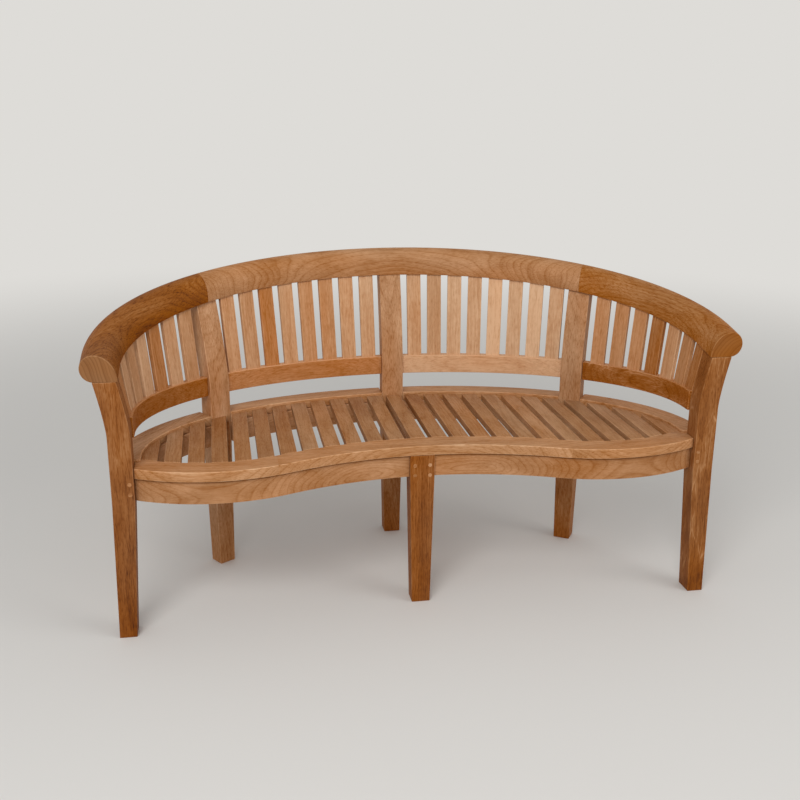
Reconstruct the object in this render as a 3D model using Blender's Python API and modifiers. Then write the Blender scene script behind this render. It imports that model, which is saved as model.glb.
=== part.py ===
"""Curved garden bench in teak: a crescent seat on six legs, with a slatted back that sweeps round into two arms.

Sizes are in metres. X runs across the bench, Y from front to back and Z up. Sizes along Y are measured from the
arm posts' front faces, and an empty moves the whole bench so that the middle of its footprint is the origin.
"""
import bpy
import bmesh
from math import asin, atan, atan2, cos, hypot, pi, radians, sin, sqrt, tan
from mathutils import Matrix, Vector

OBJECT_NAME = "curved_garden_bench"

CLEARANCE = 0.0003
OVERRUN = 0.02
EDGE_EASE = 0.0015

# Seat level and the boards round the seat.
SEAT_HEIGHT = 0.435
RIM_THICKNESS = 0.026
APRON_HEIGHT = 0.058
APRON_THICKNESS = 0.026

# Front edge of the seat: a hollow arc in the middle between two round shoulders.
FRONT_MIDDLE_Y = 0.062
SHOULDER_INSET = 0.1884
SHOULDER_Y = -0.039
SHOULDER_RADIUS = 0.4305
FRONT_RIM_WIDTH = 0.066
FRONT_RIM_JOINT_INSET = 0.135
FRONT_APRON_SETBACK = 0.009
SLAT_LEDGE_DEPTH = 0.012

# Back edge of the seat: half an ellipse whose ends run straight to the arm posts.
LIP_HALF_WIDTH = 0.6894
LIP_DEPTH = 0.4282
LIP_CENTRE_Y = 0.0853
REAR_RIM_WIDTH = 0.060
REAR_APRON_PROUD = 0.005

# Arm posts, square to the bench, just outside the ends of the seat's back edge.
ARM_POST_STEP = 0.0144
ARM_POST_WIDTH = 0.053
ARM_POST_DEPTH = 0.0541
ARM_POST_FOOT_WIDTH = 0.042
ARM_POST_FOOT_SPLAY = 0.007

# Back posts, turned to face the sitter.
SIDE_POST_ANGLE = radians(46)
BACK_POST_WIDTH = 0.061
BACK_POST_DEPTH = 0.048
BACK_POST_FOOT_WIDTH = 0.047
BACK_POST_FOOT_DEPTH = 0.045

# Front leg in the middle.
FRONT_LEG_WIDTH = 0.063
FRONT_LEG_DEPTH = 0.056
FRONT_LEG_FOOT_WIDTH = 0.048
FRONT_LEG_FOOT_DEPTH = 0.046
FRONT_LEG_SETBACK = 0.001

# From a little above the seat, every post leans outwards along one curve.
KICK_START_RISE = 0.085
KICK_REACH = 0.057
KICK_POWER = 1.35

# Middle rail of the back, with an open gap between it and the rear rim.
MID_RAIL_GAP = 0.055
MID_RAIL_HEIGHT = 0.052
MID_RAIL_SETBACK = 0.0105
MID_RAIL_THICKNESS = 0.026

# Top rail: it lies in one plane that rises from the arms to the back, and laps past the posts' inner faces.
TOP_RAIL_ARM_RISE = 0.216
TOP_RAIL_BACK_RISE = 0.344
TOP_RAIL_ARM_LAP = 0.0045
TOP_RAIL_BACK_LAP = 0.003
TOP_RAIL_SHIFT = 0.0235
TOP_RAIL_WIDTH = 0.083
TOP_RAIL_HEIGHT = 0.062

# Slats of the back and of the seat.
BACK_SLAT_WIDTH = 0.040
BACK_SLAT_THICKNESS = 0.013
BACK_SLAT_TENON = 0.014
BACK_SLAT_TOP_SETBACK = 0.006
END_PANEL_SLATS = 7
INNER_PANEL_SLATS = 8
SEAT_SLATS = 25
SEAT_SLAT_INSET = 0.0186
SEAT_SLAT_WIDTH = 0.040
SEAT_SLAT_THICKNESS = 0.019

# Bearers that run from front to back under the seat slats.
BEARER_WIDTH = 0.040
BEARER_HEIGHT = 0.045

# Faces along the curves.
KICK_STEPS = 8
FRONT_STEPS = 18
PANEL_STEPS = 20
SLAT_END_STEPS = 4
SECTION_STEPS = 7
PATH_STEPS = 120

# Heights that follow from the sizes above.
FRONT_RIM_BOTTOM_Z = SEAT_HEIGHT - RIM_THICKNESS
FRONT_APRON_TOP_Z = FRONT_RIM_BOTTOM_Z - CLEARANCE
FRONT_APRON_BOTTOM_Z = FRONT_APRON_TOP_Z - APRON_HEIGHT
SLAT_BOTTOM_Z = SEAT_HEIGHT - SEAT_SLAT_THICKNESS
SLAT_SEAT_Z = SLAT_BOTTOM_Z - CLEARANCE
REAR_RIM_TOP_Z = SLAT_BOTTOM_Z + RIM_THICKNESS
REAR_APRON_BOTTOM_Z = SLAT_SEAT_Z - APRON_HEIGHT
MID_RAIL_BOTTOM_Z = REAR_RIM_TOP_Z + MID_RAIL_GAP
MID_RAIL_TOP_Z = MID_RAIL_BOTTOM_Z + MID_RAIL_HEIGHT
KICK_START_Z = SEAT_HEIGHT + KICK_START_RISE
TOP_RAIL_ARM_Z = SEAT_HEIGHT + TOP_RAIL_ARM_RISE
TOP_RAIL_BACK_Z = SEAT_HEIGHT + TOP_RAIL_BACK_RISE


def kick(z):
    """How far a post leans outwards at height z."""
    if z <= KICK_START_Z:
        return 0.0
    return KICK_REACH * ((z - KICK_START_Z) / (TOP_RAIL_BACK_Z - KICK_START_Z)) ** KICK_POWER


# Places in plan that follow from the sizes above.
SHOULDER_X = LIP_HALF_WIDTH - SHOULDER_INSET
FRONT_RIM_JOINT_X = SHOULDER_X - FRONT_RIM_JOINT_INSET
LEDGE_OFFSET = FRONT_RIM_WIDTH + SLAT_LEDGE_DEPTH
ARM_POST_INNER_X = LIP_HALF_WIDTH + ARM_POST_STEP
ARM_POST_BACK_Y = ARM_POST_DEPTH + CLEARANCE
SEAT_SLAT_PITCH = 2 * (LIP_HALF_WIDTH - SEAT_SLAT_INSET) / (SEAT_SLATS - 1)
TOP_RAIL_HALF_WIDTH = ARM_POST_INNER_X + kick(TOP_RAIL_ARM_Z) - TOP_RAIL_ARM_LAP
TOP_RAIL_BACK_Y = LIP_CENTRE_Y + LIP_DEPTH + KICK_REACH - TOP_RAIL_BACK_LAP
TOP_RAIL_CENTRE_Y = LIP_CENTRE_Y - TOP_RAIL_SHIFT
TOP_RAIL_DEPTH = TOP_RAIL_BACK_Y - TOP_RAIL_CENTRE_Y
RAIL_TILT = atan((TOP_RAIL_BACK_Z - TOP_RAIL_ARM_Z) / TOP_RAIL_BACK_Y)
RAIL_ROUND = TOP_RAIL_HEIGHT / 2
RAIL_FLAT = TOP_RAIL_WIDTH - RAIL_ROUND
FRONT_MOST_Y = SHOULDER_Y
BACK_MOST_Y = TOP_RAIL_BACK_Y + RAIL_FLAT * cos(RAIL_TILT) - RAIL_ROUND * sin(RAIL_TILT) + RAIL_ROUND

# The hollow arc touches both shoulders, which sets its radius.
SHOULDER_CENTRE_Y = SHOULDER_Y + SHOULDER_RADIUS
HOLLOW_RISE = SHOULDER_CENTRE_Y - FRONT_MIDDLE_Y
HOLLOW_RADIUS = (SHOULDER_X ** 2 + HOLLOW_RISE ** 2 - SHOULDER_RADIUS ** 2) / (2 * (SHOULDER_RADIUS - HOLLOW_RISE))
HOLLOW_CENTRE_Y = FRONT_MIDDLE_Y - HOLLOW_RADIUS
HOLLOW_ANGLE = atan2(SHOULDER_X, SHOULDER_CENTRE_Y - HOLLOW_CENTRE_Y)

# Base colours of the groups of pieces, as linear shares of red, green and blue.
TEAK_COLOUR_SHARES = {
    "teak_posts": (0.36, 0.17, 0.06),
    "teak_top_rail": (0.42, 0.21, 0.08),
    "teak_back": (0.46, 0.25, 0.11),
    "teak_rims": (0.44, 0.25, 0.12),
    "teak_aprons": (0.42, 0.21, 0.09),
    "teak_seat_slats": (0.48, 0.28, 0.14),
    "teak_bearers": (0.34, 0.19, 0.08),
}
TEAK_ROUGHNESS = 0.55


def spread(first, last, steps):
    """Evenly spaced values from first to last, both included."""
    return [first + (last - first) * step / steps for step in range(steps + 1)]


def front_y(x, offset):
    """Y of the seat's front edge at x, with the edge moved back by offset."""
    side = abs(x)
    hollow = HOLLOW_RADIUS + offset
    if side <= hollow * sin(HOLLOW_ANGLE):
        return HOLLOW_CENTRE_Y + sqrt(hollow ** 2 - side ** 2)
    return SHOULDER_CENTRE_Y - sqrt((SHOULDER_RADIUS - offset) ** 2 - (side - SHOULDER_X) ** 2)


def arc_point(half_width, depth, centre_y, angle):
    """Point of half an ellipse with straight ends; angle 0 is its back, and positive angles lie at +X."""
    side = 1 if angle > 0 else -1
    past_end = abs(angle) - pi / 2
    if past_end > 0:
        return Vector((side * half_width, centre_y - depth * past_end))
    return Vector((half_width * sin(angle), centre_y + depth * cos(angle)))


def lip_point(angle, offset):
    """Point of the seat's back edge, moved outwards by offset."""
    return arc_point(LIP_HALF_WIDTH + offset, LIP_DEPTH + offset, LIP_CENTRE_Y, angle)


def rail_point(angle, offset):
    """Plan point of the top rail's lower inner edge, moved outwards by offset."""
    return arc_point(TOP_RAIL_HALF_WIDTH + offset, TOP_RAIL_DEPTH + offset, TOP_RAIL_CENTRE_Y, angle)


def lip_end_angle(offset):
    """Angle at which the offset back edge meets the back face of an arm post."""
    return pi / 2 + (LIP_CENTRE_Y - ARM_POST_BACK_Y) / (LIP_DEPTH + offset)


def rail_end_angle(offset):
    """Angle at which the offset top rail passes the back face of an arm post."""
    return pi / 2 + (TOP_RAIL_CENTRE_Y - ARM_POST_BACK_Y) / (TOP_RAIL_DEPTH + offset)


def lip_y(x, offset):
    """Y of the seat's back edge at x, moved outwards by offset."""
    across = min(abs(x) / (LIP_HALF_WIDTH + offset), 1)
    return LIP_CENTRE_Y + (LIP_DEPTH + offset) * sqrt(1 - across ** 2)


def edge_direction(angle):
    """Direction in plan along the back edge, towards +X."""
    turned = max(-pi / 2, min(angle, pi / 2))
    return Vector((LIP_HALF_WIDTH * cos(turned), -LIP_DEPTH * sin(turned))).normalized()


def rail_underside_z(y):
    """Height of the plane of the top rail's underside."""
    return TOP_RAIL_ARM_Z + y * tan(RAIL_TILT)


def mesh_from(shell, name):
    """Turns an edited shape into a mesh."""
    bmesh.ops.recalc_face_normals(shell, faces=shell.faces)
    mesh = bpy.data.meshes.new(name)
    shell.to_mesh(mesh)
    shell.free()
    return mesh


def board_mesh(name, outline, low, high):
    """A flat board with this outline in plan, from height low to high."""
    curve = bpy.data.curves.new(name, "CURVE")
    curve.dimensions = "2D"
    curve.fill_mode = "BOTH"
    curve.extrude = (high - low) / 2
    spline = curve.splines.new("POLY")
    spline.points.add(len(outline) - 1)
    for point, place in zip(spline.points, outline):
        point.co = (place[0], place[1], 0, 1)
    spline.use_cyclic_u = True
    guide = bpy.data.objects.new(name + "_outline", curve)
    cutters.objects.link(guide)
    flat = bpy.data.meshes.new_from_object(guide.evaluated_get(bpy.context.evaluated_depsgraph_get()))
    bpy.data.objects.remove(guide)
    shell = bmesh.new()
    shell.from_mesh(flat)
    bpy.data.meshes.remove(flat)
    bmesh.ops.remove_doubles(shell, verts=shell.verts, dist=CLEARANCE / 10)
    bmesh.ops.dissolve_limit(shell, angle_limit=radians(0.05), verts=shell.verts, edges=shell.edges)
    bmesh.ops.translate(shell, verts=shell.verts, vec=(0, 0, (high + low) / 2))
    return mesh_from(shell, name)


def loft_mesh(name, rings):
    """A closed solid through rings that all have the same count of points."""
    shell = bmesh.new()
    rows = [[shell.verts.new(point) for point in ring] for ring in rings]
    for row, following in zip(rows, rows[1:]):
        for index, corner in enumerate(row):
            after = (index + 1) % len(row)
            shell.faces.new((corner, row[after], following[after], following[index]))
    shell.faces.new(rows[0])
    shell.faces.new(rows[-1])
    return mesh_from(shell, name)


def box_mesh(name, matrices):
    """Unit cubes, each placed and scaled by a matrix."""
    shell = bmesh.new()
    for matrix in matrices:
        bmesh.ops.create_cube(shell, size=1, matrix=matrix)
    return mesh_from(shell, name)


def box_between(low, high):
    """Matrix of a unit cube that fills the box between two corners."""
    size = [top - bottom for bottom, top in zip(low, high)]
    middle = [(top + bottom) / 2 for bottom, top in zip(low, high)]
    return Matrix.Translation(middle) @ Matrix.Diagonal((*size, 1))


def make_teak(name, finish):
    """Oiled teak for one piece, in the colour of its group."""
    material = bpy.data.materials.new(name)
    material.use_nodes = True
    shader = material.node_tree.nodes["Principled BSDF"]
    shader.inputs["Base Color"].default_value = (*TEAK_COLOUR_SHARES[finish], 1)
    shader.inputs["Roughness"].default_value = TEAK_ROUGHNESS
    shader.inputs["Metallic"].default_value = 0
    return material


def add_piece(name, mesh, finish):
    """One named piece of the bench."""
    piece = bpy.data.objects.new(name, mesh)
    mesh.materials.append(make_teak(name, finish))
    piece.parent = frame
    pieces.objects.link(piece)
    return piece


def add_cutter(name, mesh):
    """A hidden solid that only shapes its neighbours."""
    cutter = bpy.data.objects.new(name, mesh)
    cutter.parent = frame
    cutter.hide_render = True
    cutter.display_type = "WIRE"
    cutters.objects.link(cutter)
    return cutter


def combine(piece, other, operation):
    """Adds another solid to a piece, or takes it away."""
    boolean = piece.modifiers.new(other.name, "BOOLEAN")
    boolean.operation = operation
    boolean.solver = "EXACT"
    boolean.object = other


def ease_edges(piece):
    """Arrises sanded by hand."""
    bevel = piece.modifiers.new("eased_edges", "BEVEL")
    bevel.width = EDGE_EASE
    bevel.segments = 1
    bevel.limit_method = "ANGLE"
    bevel.angle_limit = radians(40)


def place_at_post(thing, angle):
    """Stands a post or its cutter on the back edge, facing the sitter."""
    place = lip_point(angle, 0)
    along = edge_direction(angle)
    thing.location = (place.x, place.y, 0)
    thing.rotation_euler = (0, 0, atan2(along.y, along.x))


def place_on_rail_plane(thing):
    """Lays a flat shape in the tilted plane of the top rail."""
    thing.location = (0, 0, TOP_RAIL_ARM_Z)
    thing.rotation_euler = (RAIL_TILT, 0, 0)


def side_name(side):
    """Name of a side of the bench, as seen from the front."""
    return "right" if side > 0 else "left"


def make_arm_post(side):
    """Arm post: tapered and splayed at the foot, leaning outwards under the arm."""
    heights = [0, FRONT_APRON_BOTTOM_Z] + spread(KICK_START_Z, TOP_RAIL_ARM_Z + OVERRUN, KICK_STEPS)
    rings = []
    for z in heights:
        inner = ARM_POST_INNER_X + kick(z)
        outer = inner + ARM_POST_WIDTH
        if z == 0:
            outer += ARM_POST_FOOT_SPLAY
            inner = outer - ARM_POST_FOOT_WIDTH
        rings.append([(side * inner, 0, z), (side * outer, 0, z),
                      (side * outer, ARM_POST_DEPTH, z), (side * inner, ARM_POST_DEPTH, z)])
    post = add_piece("arm_post_" + side_name(side), loft_mesh("arm_post", rings), "teak_posts")
    ease_edges(post)
    combine(post, above_rail, "DIFFERENCE")


def make_back_post(name, angle):
    """Back post: tapered below the seat, leaning back above it."""
    heights = [0, REAR_APRON_BOTTOM_Z] + spread(KICK_START_Z, TOP_RAIL_BACK_Z + OVERRUN, KICK_STEPS)
    rings = []
    for z in heights:
        half = (BACK_POST_FOOT_WIDTH if z == 0 else BACK_POST_WIDTH) / 2
        depth = BACK_POST_FOOT_DEPTH if z == 0 else BACK_POST_DEPTH
        front = kick(z)
        rings.append([(-half, front, z), (half, front, z), (half, front + depth, z), (-half, front + depth, z)])
    post = add_piece(name, loft_mesh(name, rings), "teak_posts")
    place_at_post(post, angle)
    ease_edges(post)
    combine(post, above_rail, "DIFFERENCE")


def make_front_leg():
    """Front leg in the middle, under the front rim."""
    front = FRONT_MIDDLE_Y + FRONT_LEG_SETBACK
    sizes = [(0, FRONT_LEG_FOOT_WIDTH, FRONT_LEG_FOOT_DEPTH),
             (FRONT_APRON_BOTTOM_Z, FRONT_LEG_WIDTH, FRONT_LEG_DEPTH),
             (FRONT_APRON_TOP_Z, FRONT_LEG_WIDTH, FRONT_LEG_DEPTH)]
    rings = [[(-width / 2, front, z), (width / 2, front, z),
              (width / 2, front + depth, z), (-width / 2, front + depth, z)] for z, width, depth in sizes]
    leg = add_piece("front_leg", loft_mesh("front_leg", rings), "teak_posts")
    ease_edges(leg)


def front_outline(first_x, last_x, near, far, steps):
    """Outline of a board that follows the seat's front edge between two offsets."""
    places = spread(first_x, last_x, steps)
    return ([(x, front_y(x, near)) for x in places]
            + [(x, front_y(x, far)) for x in reversed(places)])


def back_outline(first, last, near, far, steps):
    """Outline of a board that follows the seat's back edge; an end given as None runs to the arm post."""
    def edge(offset):
        start = -lip_end_angle(offset) if first is None else first
        stop = lip_end_angle(offset) if last is None else last
        return [lip_point(angle, offset) for angle in spread(start, stop, steps)]
    return edge(near) + edge(far)[::-1]


def make_front_rims():
    """Front rim in three boards; the outer two end against the arm posts and the rear rim."""
    joint = FRONT_RIM_JOINT_X - CLEARANCE / 2
    boards = [("front_rim_centre", front_outline(-joint, joint, 0, LEDGE_OFFSET, 2 * FRONT_STEPS))]
    first = FRONT_RIM_JOINT_X + CLEARANCE / 2
    last = ARM_POST_INNER_X - CLEARANCE
    for side in (-1, 1):
        outline = front_outline(side * first, side * last, 0, LEDGE_OFFSET, FRONT_STEPS)
        boards.append(("front_rim_" + side_name(side), outline))
    for name, outline in boards:
        rim = add_piece(name, board_mesh(name, outline, FRONT_RIM_BOTTOM_Z, SEAT_HEIGHT), "teak_rims")
        ease_edges(rim)
        combine(rim, slat_rebate, "DIFFERENCE")
        if name != "front_rim_centre":
            combine(rim, rear_rim_room, "DIFFERENCE")


def make_front_aprons():
    """Front aprons, from the front leg to the arm posts."""
    near = FRONT_APRON_SETBACK
    far = FRONT_APRON_SETBACK + APRON_THICKNESS
    inner = FRONT_LEG_WIDTH / 2 + CLEARANCE
    outer = ARM_POST_INNER_X - CLEARANCE
    for side in (-1, 1):
        name = "front_apron_" + side_name(side)
        outline = front_outline(side * inner, side * outer, near, far, 2 * FRONT_STEPS)
        apron = add_piece(name, board_mesh(name, outline, FRONT_APRON_BOTTOM_Z, FRONT_APRON_TOP_Z), "teak_aprons")
        ease_edges(apron)


def back_sections():
    """The four stretches between posts: name, first and last angle, and the posts that bound them."""
    return [
        ("left", None, -SIDE_POST_ANGLE, ["left"]),
        ("left_centre", -SIDE_POST_ANGLE, 0, ["left", "centre"]),
        ("right_centre", 0, SIDE_POST_ANGLE, ["centre", "right"]),
        ("right", SIDE_POST_ANGLE, None, ["right"]),
    ]


def make_rear_rims():
    """Rear rim boards, which stand proud of the slats as a low lip."""
    for name, first, last, posts in back_sections():
        outline = back_outline(first, last, 0, REAR_RIM_WIDTH, PANEL_STEPS)
        mesh = board_mesh("rear_rim_" + name, outline, SLAT_BOTTOM_Z, REAR_RIM_TOP_Z)
        rim = add_piece("rear_rim_" + name, mesh, "teak_rims")
        ease_edges(rim)
        for post in posts:
            combine(rim, post_slots[post], "DIFFERENCE")


def make_rear_aprons():
    """Rear aprons under the rear rim; their tops also carry the slats' back ends."""
    for name, first, last, posts in back_sections():
        outline = back_outline(first, last, -REAR_APRON_PROUD, APRON_THICKNESS - REAR_APRON_PROUD, PANEL_STEPS)
        mesh = board_mesh("rear_apron_" + name, outline, REAR_APRON_BOTTOM_Z, SLAT_SEAT_Z)
        apron = add_piece("rear_apron_" + name, mesh, "teak_aprons")
        ease_edges(apron)
        for post in posts:
            combine(apron, post_slots[post], "DIFFERENCE")
        if first is None or last is None:
            combine(apron, front_rim_room, "DIFFERENCE")


def even_angles(path, first, last, near_post, far_post, count):
    """Angles of the middles of slats along a path: equal gaps, with one beside a back post and none at an arm post."""
    angles = spread(first, last, PATH_STEPS)
    places = [path(angle) for angle in angles]
    lengths = [0.0]
    for place, following in zip(places, places[1:]):
        lengths.append(lengths[-1] + (following - place).length)
    near_margin = BACK_POST_WIDTH / 2 if near_post else CLEARANCE
    far_margin = BACK_POST_WIDTH / 2 if far_post else CLEARANCE
    gaps = count - 1 + int(near_post) + int(far_post)
    gap = (lengths[-1] - near_margin - far_margin - count * BACK_SLAT_WIDTH) / gaps
    middles = []
    for index in range(count):
        wanted = near_margin + gap * (index + int(near_post)) + BACK_SLAT_WIDTH * (index + 0.5)
        step = next(step for step, length in enumerate(lengths) if length >= wanted)
        part = (wanted - lengths[step - 1]) / (lengths[step] - lengths[step - 1])
        middles.append(angles[step - 1] + part * (angles[step] - angles[step - 1]))
    return middles


def slat_matrices(first, last, count):
    """Boxes of one panel's slats, from inside the middle rail to past the top rail's underside."""
    low_offset = MID_RAIL_SETBACK + MID_RAIL_THICKNESS / 2
    high_offset = BACK_SLAT_TOP_SETBACK + BACK_SLAT_THICKNESS / 2
    near_post = first is not None
    far_post = last is not None

    def ends(end_angle):
        return (first if near_post else -end_angle), (last if far_post else end_angle)

    low_angles = even_angles(lambda angle: lip_point(angle, low_offset),
                             *ends(lip_end_angle(low_offset)), near_post, far_post, count)
    high_angles = even_angles(lambda angle: rail_point(angle, high_offset),
                              *ends(rail_end_angle(high_offset)), near_post, far_post, count)
    matrices = []
    for low_angle, high_angle in zip(low_angles, high_angles):
        low_place = lip_point(low_angle, low_offset)
        high_place = rail_point(high_angle, high_offset)
        bottom = Vector((low_place.x, low_place.y, MID_RAIL_TOP_Z))
        top = Vector((high_place.x, high_place.y, rail_underside_z(high_place.y)))
        rise = (top - bottom).normalized()
        bottom -= rise * BACK_SLAT_TENON
        top += rise * OVERRUN
        along = edge_direction(low_angle) + edge_direction(high_angle)
        across = rise.cross(Vector((along.x, along.y, 0))).normalized()
        along = across.cross(rise)
        turn = Matrix((along, across, rise)).transposed().to_4x4()
        size = Matrix.Diagonal((BACK_SLAT_WIDTH, BACK_SLAT_THICKNESS, (top - bottom).length, 1))
        matrices.append(Matrix.Translation((bottom + top) / 2) @ turn @ size)
    return matrices


def make_back_panels():
    """Back panels: a stretch of the middle rail with its slats tenoned and glued into it."""
    for name, first, last, posts in back_sections():
        count = END_PANEL_SLATS if first is None or last is None else INNER_PANEL_SLATS
        far = MID_RAIL_SETBACK + MID_RAIL_THICKNESS
        outline = back_outline(first, last, MID_RAIL_SETBACK, far, PANEL_STEPS)
        mesh = board_mesh("back_panel_" + name, outline, MID_RAIL_BOTTOM_Z, MID_RAIL_TOP_Z)
        panel = add_piece("back_panel_" + name, mesh, "teak_back")
        for post in posts:
            combine(panel, post_slots[post], "DIFFERENCE")
        slats = add_cutter("back_slats_" + name, box_mesh("back_slats", slat_matrices(first, last, count)))
        combine(panel, slats, "UNION")
        combine(panel, above_rail, "DIFFERENCE")


def rail_section():
    """Section of the top rail as outward and upward places: a swept-back inner face and a round outer roll."""
    inner = [(RAIL_FLAT * (1 - cos(angle)), TOP_RAIL_HEIGHT * sin(angle))
             for angle in spread(0, pi / 2, SECTION_STEPS)]
    outer = [(RAIL_FLAT + RAIL_ROUND * sin(angle), RAIL_ROUND + RAIL_ROUND * cos(angle))
             for angle in spread(0, pi, 2 * SECTION_STEPS)]
    return inner + outer[1:]


def joint_angle(out, up, play):
    """Angle at which a line along the top rail meets the upright plane through a side post's middle, plus play."""
    along = edge_direction(SIDE_POST_ANGLE)
    across = (TOP_RAIL_HALF_WIDTH + out) * along.x
    back = (TOP_RAIL_DEPTH + out * cos(RAIL_TILT)) * along.y
    reach = lip_point(SIDE_POST_ANGLE, 0).dot(along) + play - (TOP_RAIL_CENTRE_Y - up * sin(RAIL_TILT)) * along.y
    return asin(reach / hypot(across, back)) - atan2(back, across)


def rail_rings(end_angles, steps):
    """Rings of one length of the top rail, in its own plane; each place of the section has its two end angles."""
    rings = []
    for share in spread(0, 1, steps):
        ring = []
        for (out, up), (first, last) in zip(rail_section(), end_angles):
            place = arc_point(TOP_RAIL_HALF_WIDTH + out, TOP_RAIL_DEPTH / cos(RAIL_TILT) + out,
                              TOP_RAIL_CENTRE_Y / cos(RAIL_TILT), first + share * (last - first))
            ring.append((place.x, place.y, up))
        rings.append(ring)
    return rings


def rail_end_ring(side):
    """Scroll end of an arm, cut upright and level with the arm post's front face."""
    return [(side * (TOP_RAIL_HALF_WIDTH + out), up * tan(RAIL_TILT), up) for out, up in rail_section()]


def make_top_rails():
    """Top rail in three lengths that meet over the middles of the side posts."""
    centre_ends = [joint_angle(out, up, -CLEARANCE / 2) for out, up in rail_section()]
    arm_ends = [joint_angle(out, up, CLEARANCE / 2) for out, up in rail_section()]
    rails = [("top_rail_centre", rail_rings([(-angle, angle) for angle in centre_ends], 2 * PANEL_STEPS))]
    for side in (-1, 1):
        rings = rail_rings([(side * angle, side * pi / 2) for angle in arm_ends], PANEL_STEPS)
        rails.append(("top_rail_" + side_name(side), rings + [rail_end_ring(side)]))
    for name, rings in rails:
        rail = add_piece(name, loft_mesh(name, rings), "teak_top_rail")
        place_on_rail_plane(rail)
        ease_edges(rail)


def make_seat_slats():
    """Seat slats, all running from front to back, cut to both curves of the seat."""
    near = FRONT_RIM_WIDTH + CLEARANCE
    limit = LIP_HALF_WIDTH - CLEARANCE
    for index in range(SEAT_SLATS):
        middle = (index - (SEAT_SLATS - 1) / 2) * SEAT_SLAT_PITCH
        first = max(middle - SEAT_SLAT_WIDTH / 2, -limit)
        last = min(middle + SEAT_SLAT_WIDTH / 2, limit)
        places = spread(first, last, SLAT_END_STEPS)
        outline = ([(x, front_y(x, near)) for x in places]
                   + [(x, lip_y(x, -CLEARANCE)) for x in reversed(places)])
        name = f"seat_slat_{index + 1:02d}"
        slat = add_piece(name, board_mesh(name, outline, SLAT_BOTTOM_Z, SEAT_HEIGHT), "teak_seat_slats")
        ease_edges(slat)


def make_bearers():
    """Bearers under the slats, from each back post to the front of the seat."""
    side_place = lip_point(SIDE_POST_ANGLE, 0)
    slope = edge_direction(SIDE_POST_ANGLE)
    leg_back = FRONT_MIDDLE_Y + FRONT_LEG_SETBACK + FRONT_LEG_DEPTH + CLEARANCE
    half = BEARER_WIDTH / 2
    apron_back = FRONT_APRON_SETBACK + APRON_THICKNESS + CLEARANCE
    post_gap = CLEARANCE / slope.x
    outlines = [("bearer_centre", [(-half, leg_back), (half, leg_back),
                                   (half, lip_point(0, 0).y - CLEARANCE), (-half, lip_point(0, 0).y - CLEARANCE)])]
    for side in (-1, 1):
        places = spread(side_place.x - half, side_place.x + half, SLAT_END_STEPS)
        fronts = [(side * x, front_y(x, apron_back)) for x in places]
        backs = [(side * x, side_place.y + (x - side_place.x) * slope.y / slope.x - post_gap)
                 for x in (places[-1], places[0])]
        outlines.append(("bearer_" + side_name(side), fronts + backs))
    for name, outline in outlines:
        mesh = board_mesh(name, outline, SLAT_SEAT_Z - BEARER_HEIGHT, SLAT_SEAT_Z)
        bearer = add_piece(name, mesh, "teak_bearers")
        combine(bearer, front_rim_room, "DIFFERENCE")


def make_post_slots():
    """Room for each back post in the boards that end against it."""
    half = BACK_POST_WIDTH / 2 + CLEARANCE
    low = (-half, -OVERRUN, 0)
    high = (half, REAR_RIM_WIDTH + OVERRUN, MID_RAIL_TOP_Z + OVERRUN)
    slots = {}
    for name, angle in back_posts.items():
        slots[name] = add_cutter("slot_" + name, box_mesh("slot", [box_between(low, high)]))
        place_at_post(slots[name], angle)
    return slots


def make_above_rail():
    """Everything above the top rail's underside, which trims the posts and slats."""
    reach = TOP_RAIL_HALF_WIDTH + TOP_RAIL_WIDTH
    low = (-reach, -reach, -CLEARANCE)
    cutter = add_cutter("above_rail", box_mesh("above_rail", [box_between(low, (reach, reach, reach))]))
    place_on_rail_plane(cutter)
    return cutter


def make_front_rim_room():
    """Room for the front rim in the bearers and the rear aprons."""
    outline = front_outline(-LIP_HALF_WIDTH, LIP_HALF_WIDTH, -OVERRUN, LEDGE_OFFSET + CLEARANCE, 4 * FRONT_STEPS)
    mesh = board_mesh("front_rim_room", outline, FRONT_APRON_TOP_Z, SEAT_HEIGHT + OVERRUN)
    return add_cutter("front_rim_room", mesh)


def make_slat_rebate():
    """What is cut from the front rim's inner edge so that the slats drop in."""
    outline = front_outline(-ARM_POST_INNER_X, ARM_POST_INNER_X, FRONT_RIM_WIDTH, LEDGE_OFFSET + OVERRUN,
                            4 * FRONT_STEPS)
    return add_cutter("slat_rebate", board_mesh("slat_rebate", outline, SLAT_SEAT_Z, SEAT_HEIGHT + OVERRUN))


def make_rear_rim_room():
    """Room in the outer boards of the front rim for the ends of the rear rim, behind the arm posts."""
    boxes = []
    for side in (-1, 1):
        reach = sorted((side * (LIP_HALF_WIDTH - CLEARANCE), side * (ARM_POST_INNER_X + OVERRUN)))
        low = (reach[0], ARM_POST_DEPTH, 0)
        boxes.append(box_between(low, (reach[1], LIP_CENTRE_Y + REAR_RIM_WIDTH, SEAT_HEIGHT + OVERRUN)))
    return add_cutter("rear_rim_room", box_mesh("rear_rim_room", boxes))


for old in list(bpy.data.objects):
    bpy.data.objects.remove(old)
pieces = bpy.data.collections.new(OBJECT_NAME)
cutters = bpy.data.collections.new("cutters")
bpy.context.scene.collection.children.link(pieces)
bpy.context.scene.collection.children.link(cutters)
frame = bpy.data.objects.new("bench_frame", None)
frame.location = (0, -(FRONT_MOST_Y + BACK_MOST_Y) / 2, 0)
pieces.objects.link(frame)

back_posts = {"left": -SIDE_POST_ANGLE, "centre": 0, "right": SIDE_POST_ANGLE}
post_slots = make_post_slots()
above_rail = make_above_rail()
front_rim_room = make_front_rim_room()
slat_rebate = make_slat_rebate()
rear_rim_room = make_rear_rim_room()

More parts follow.
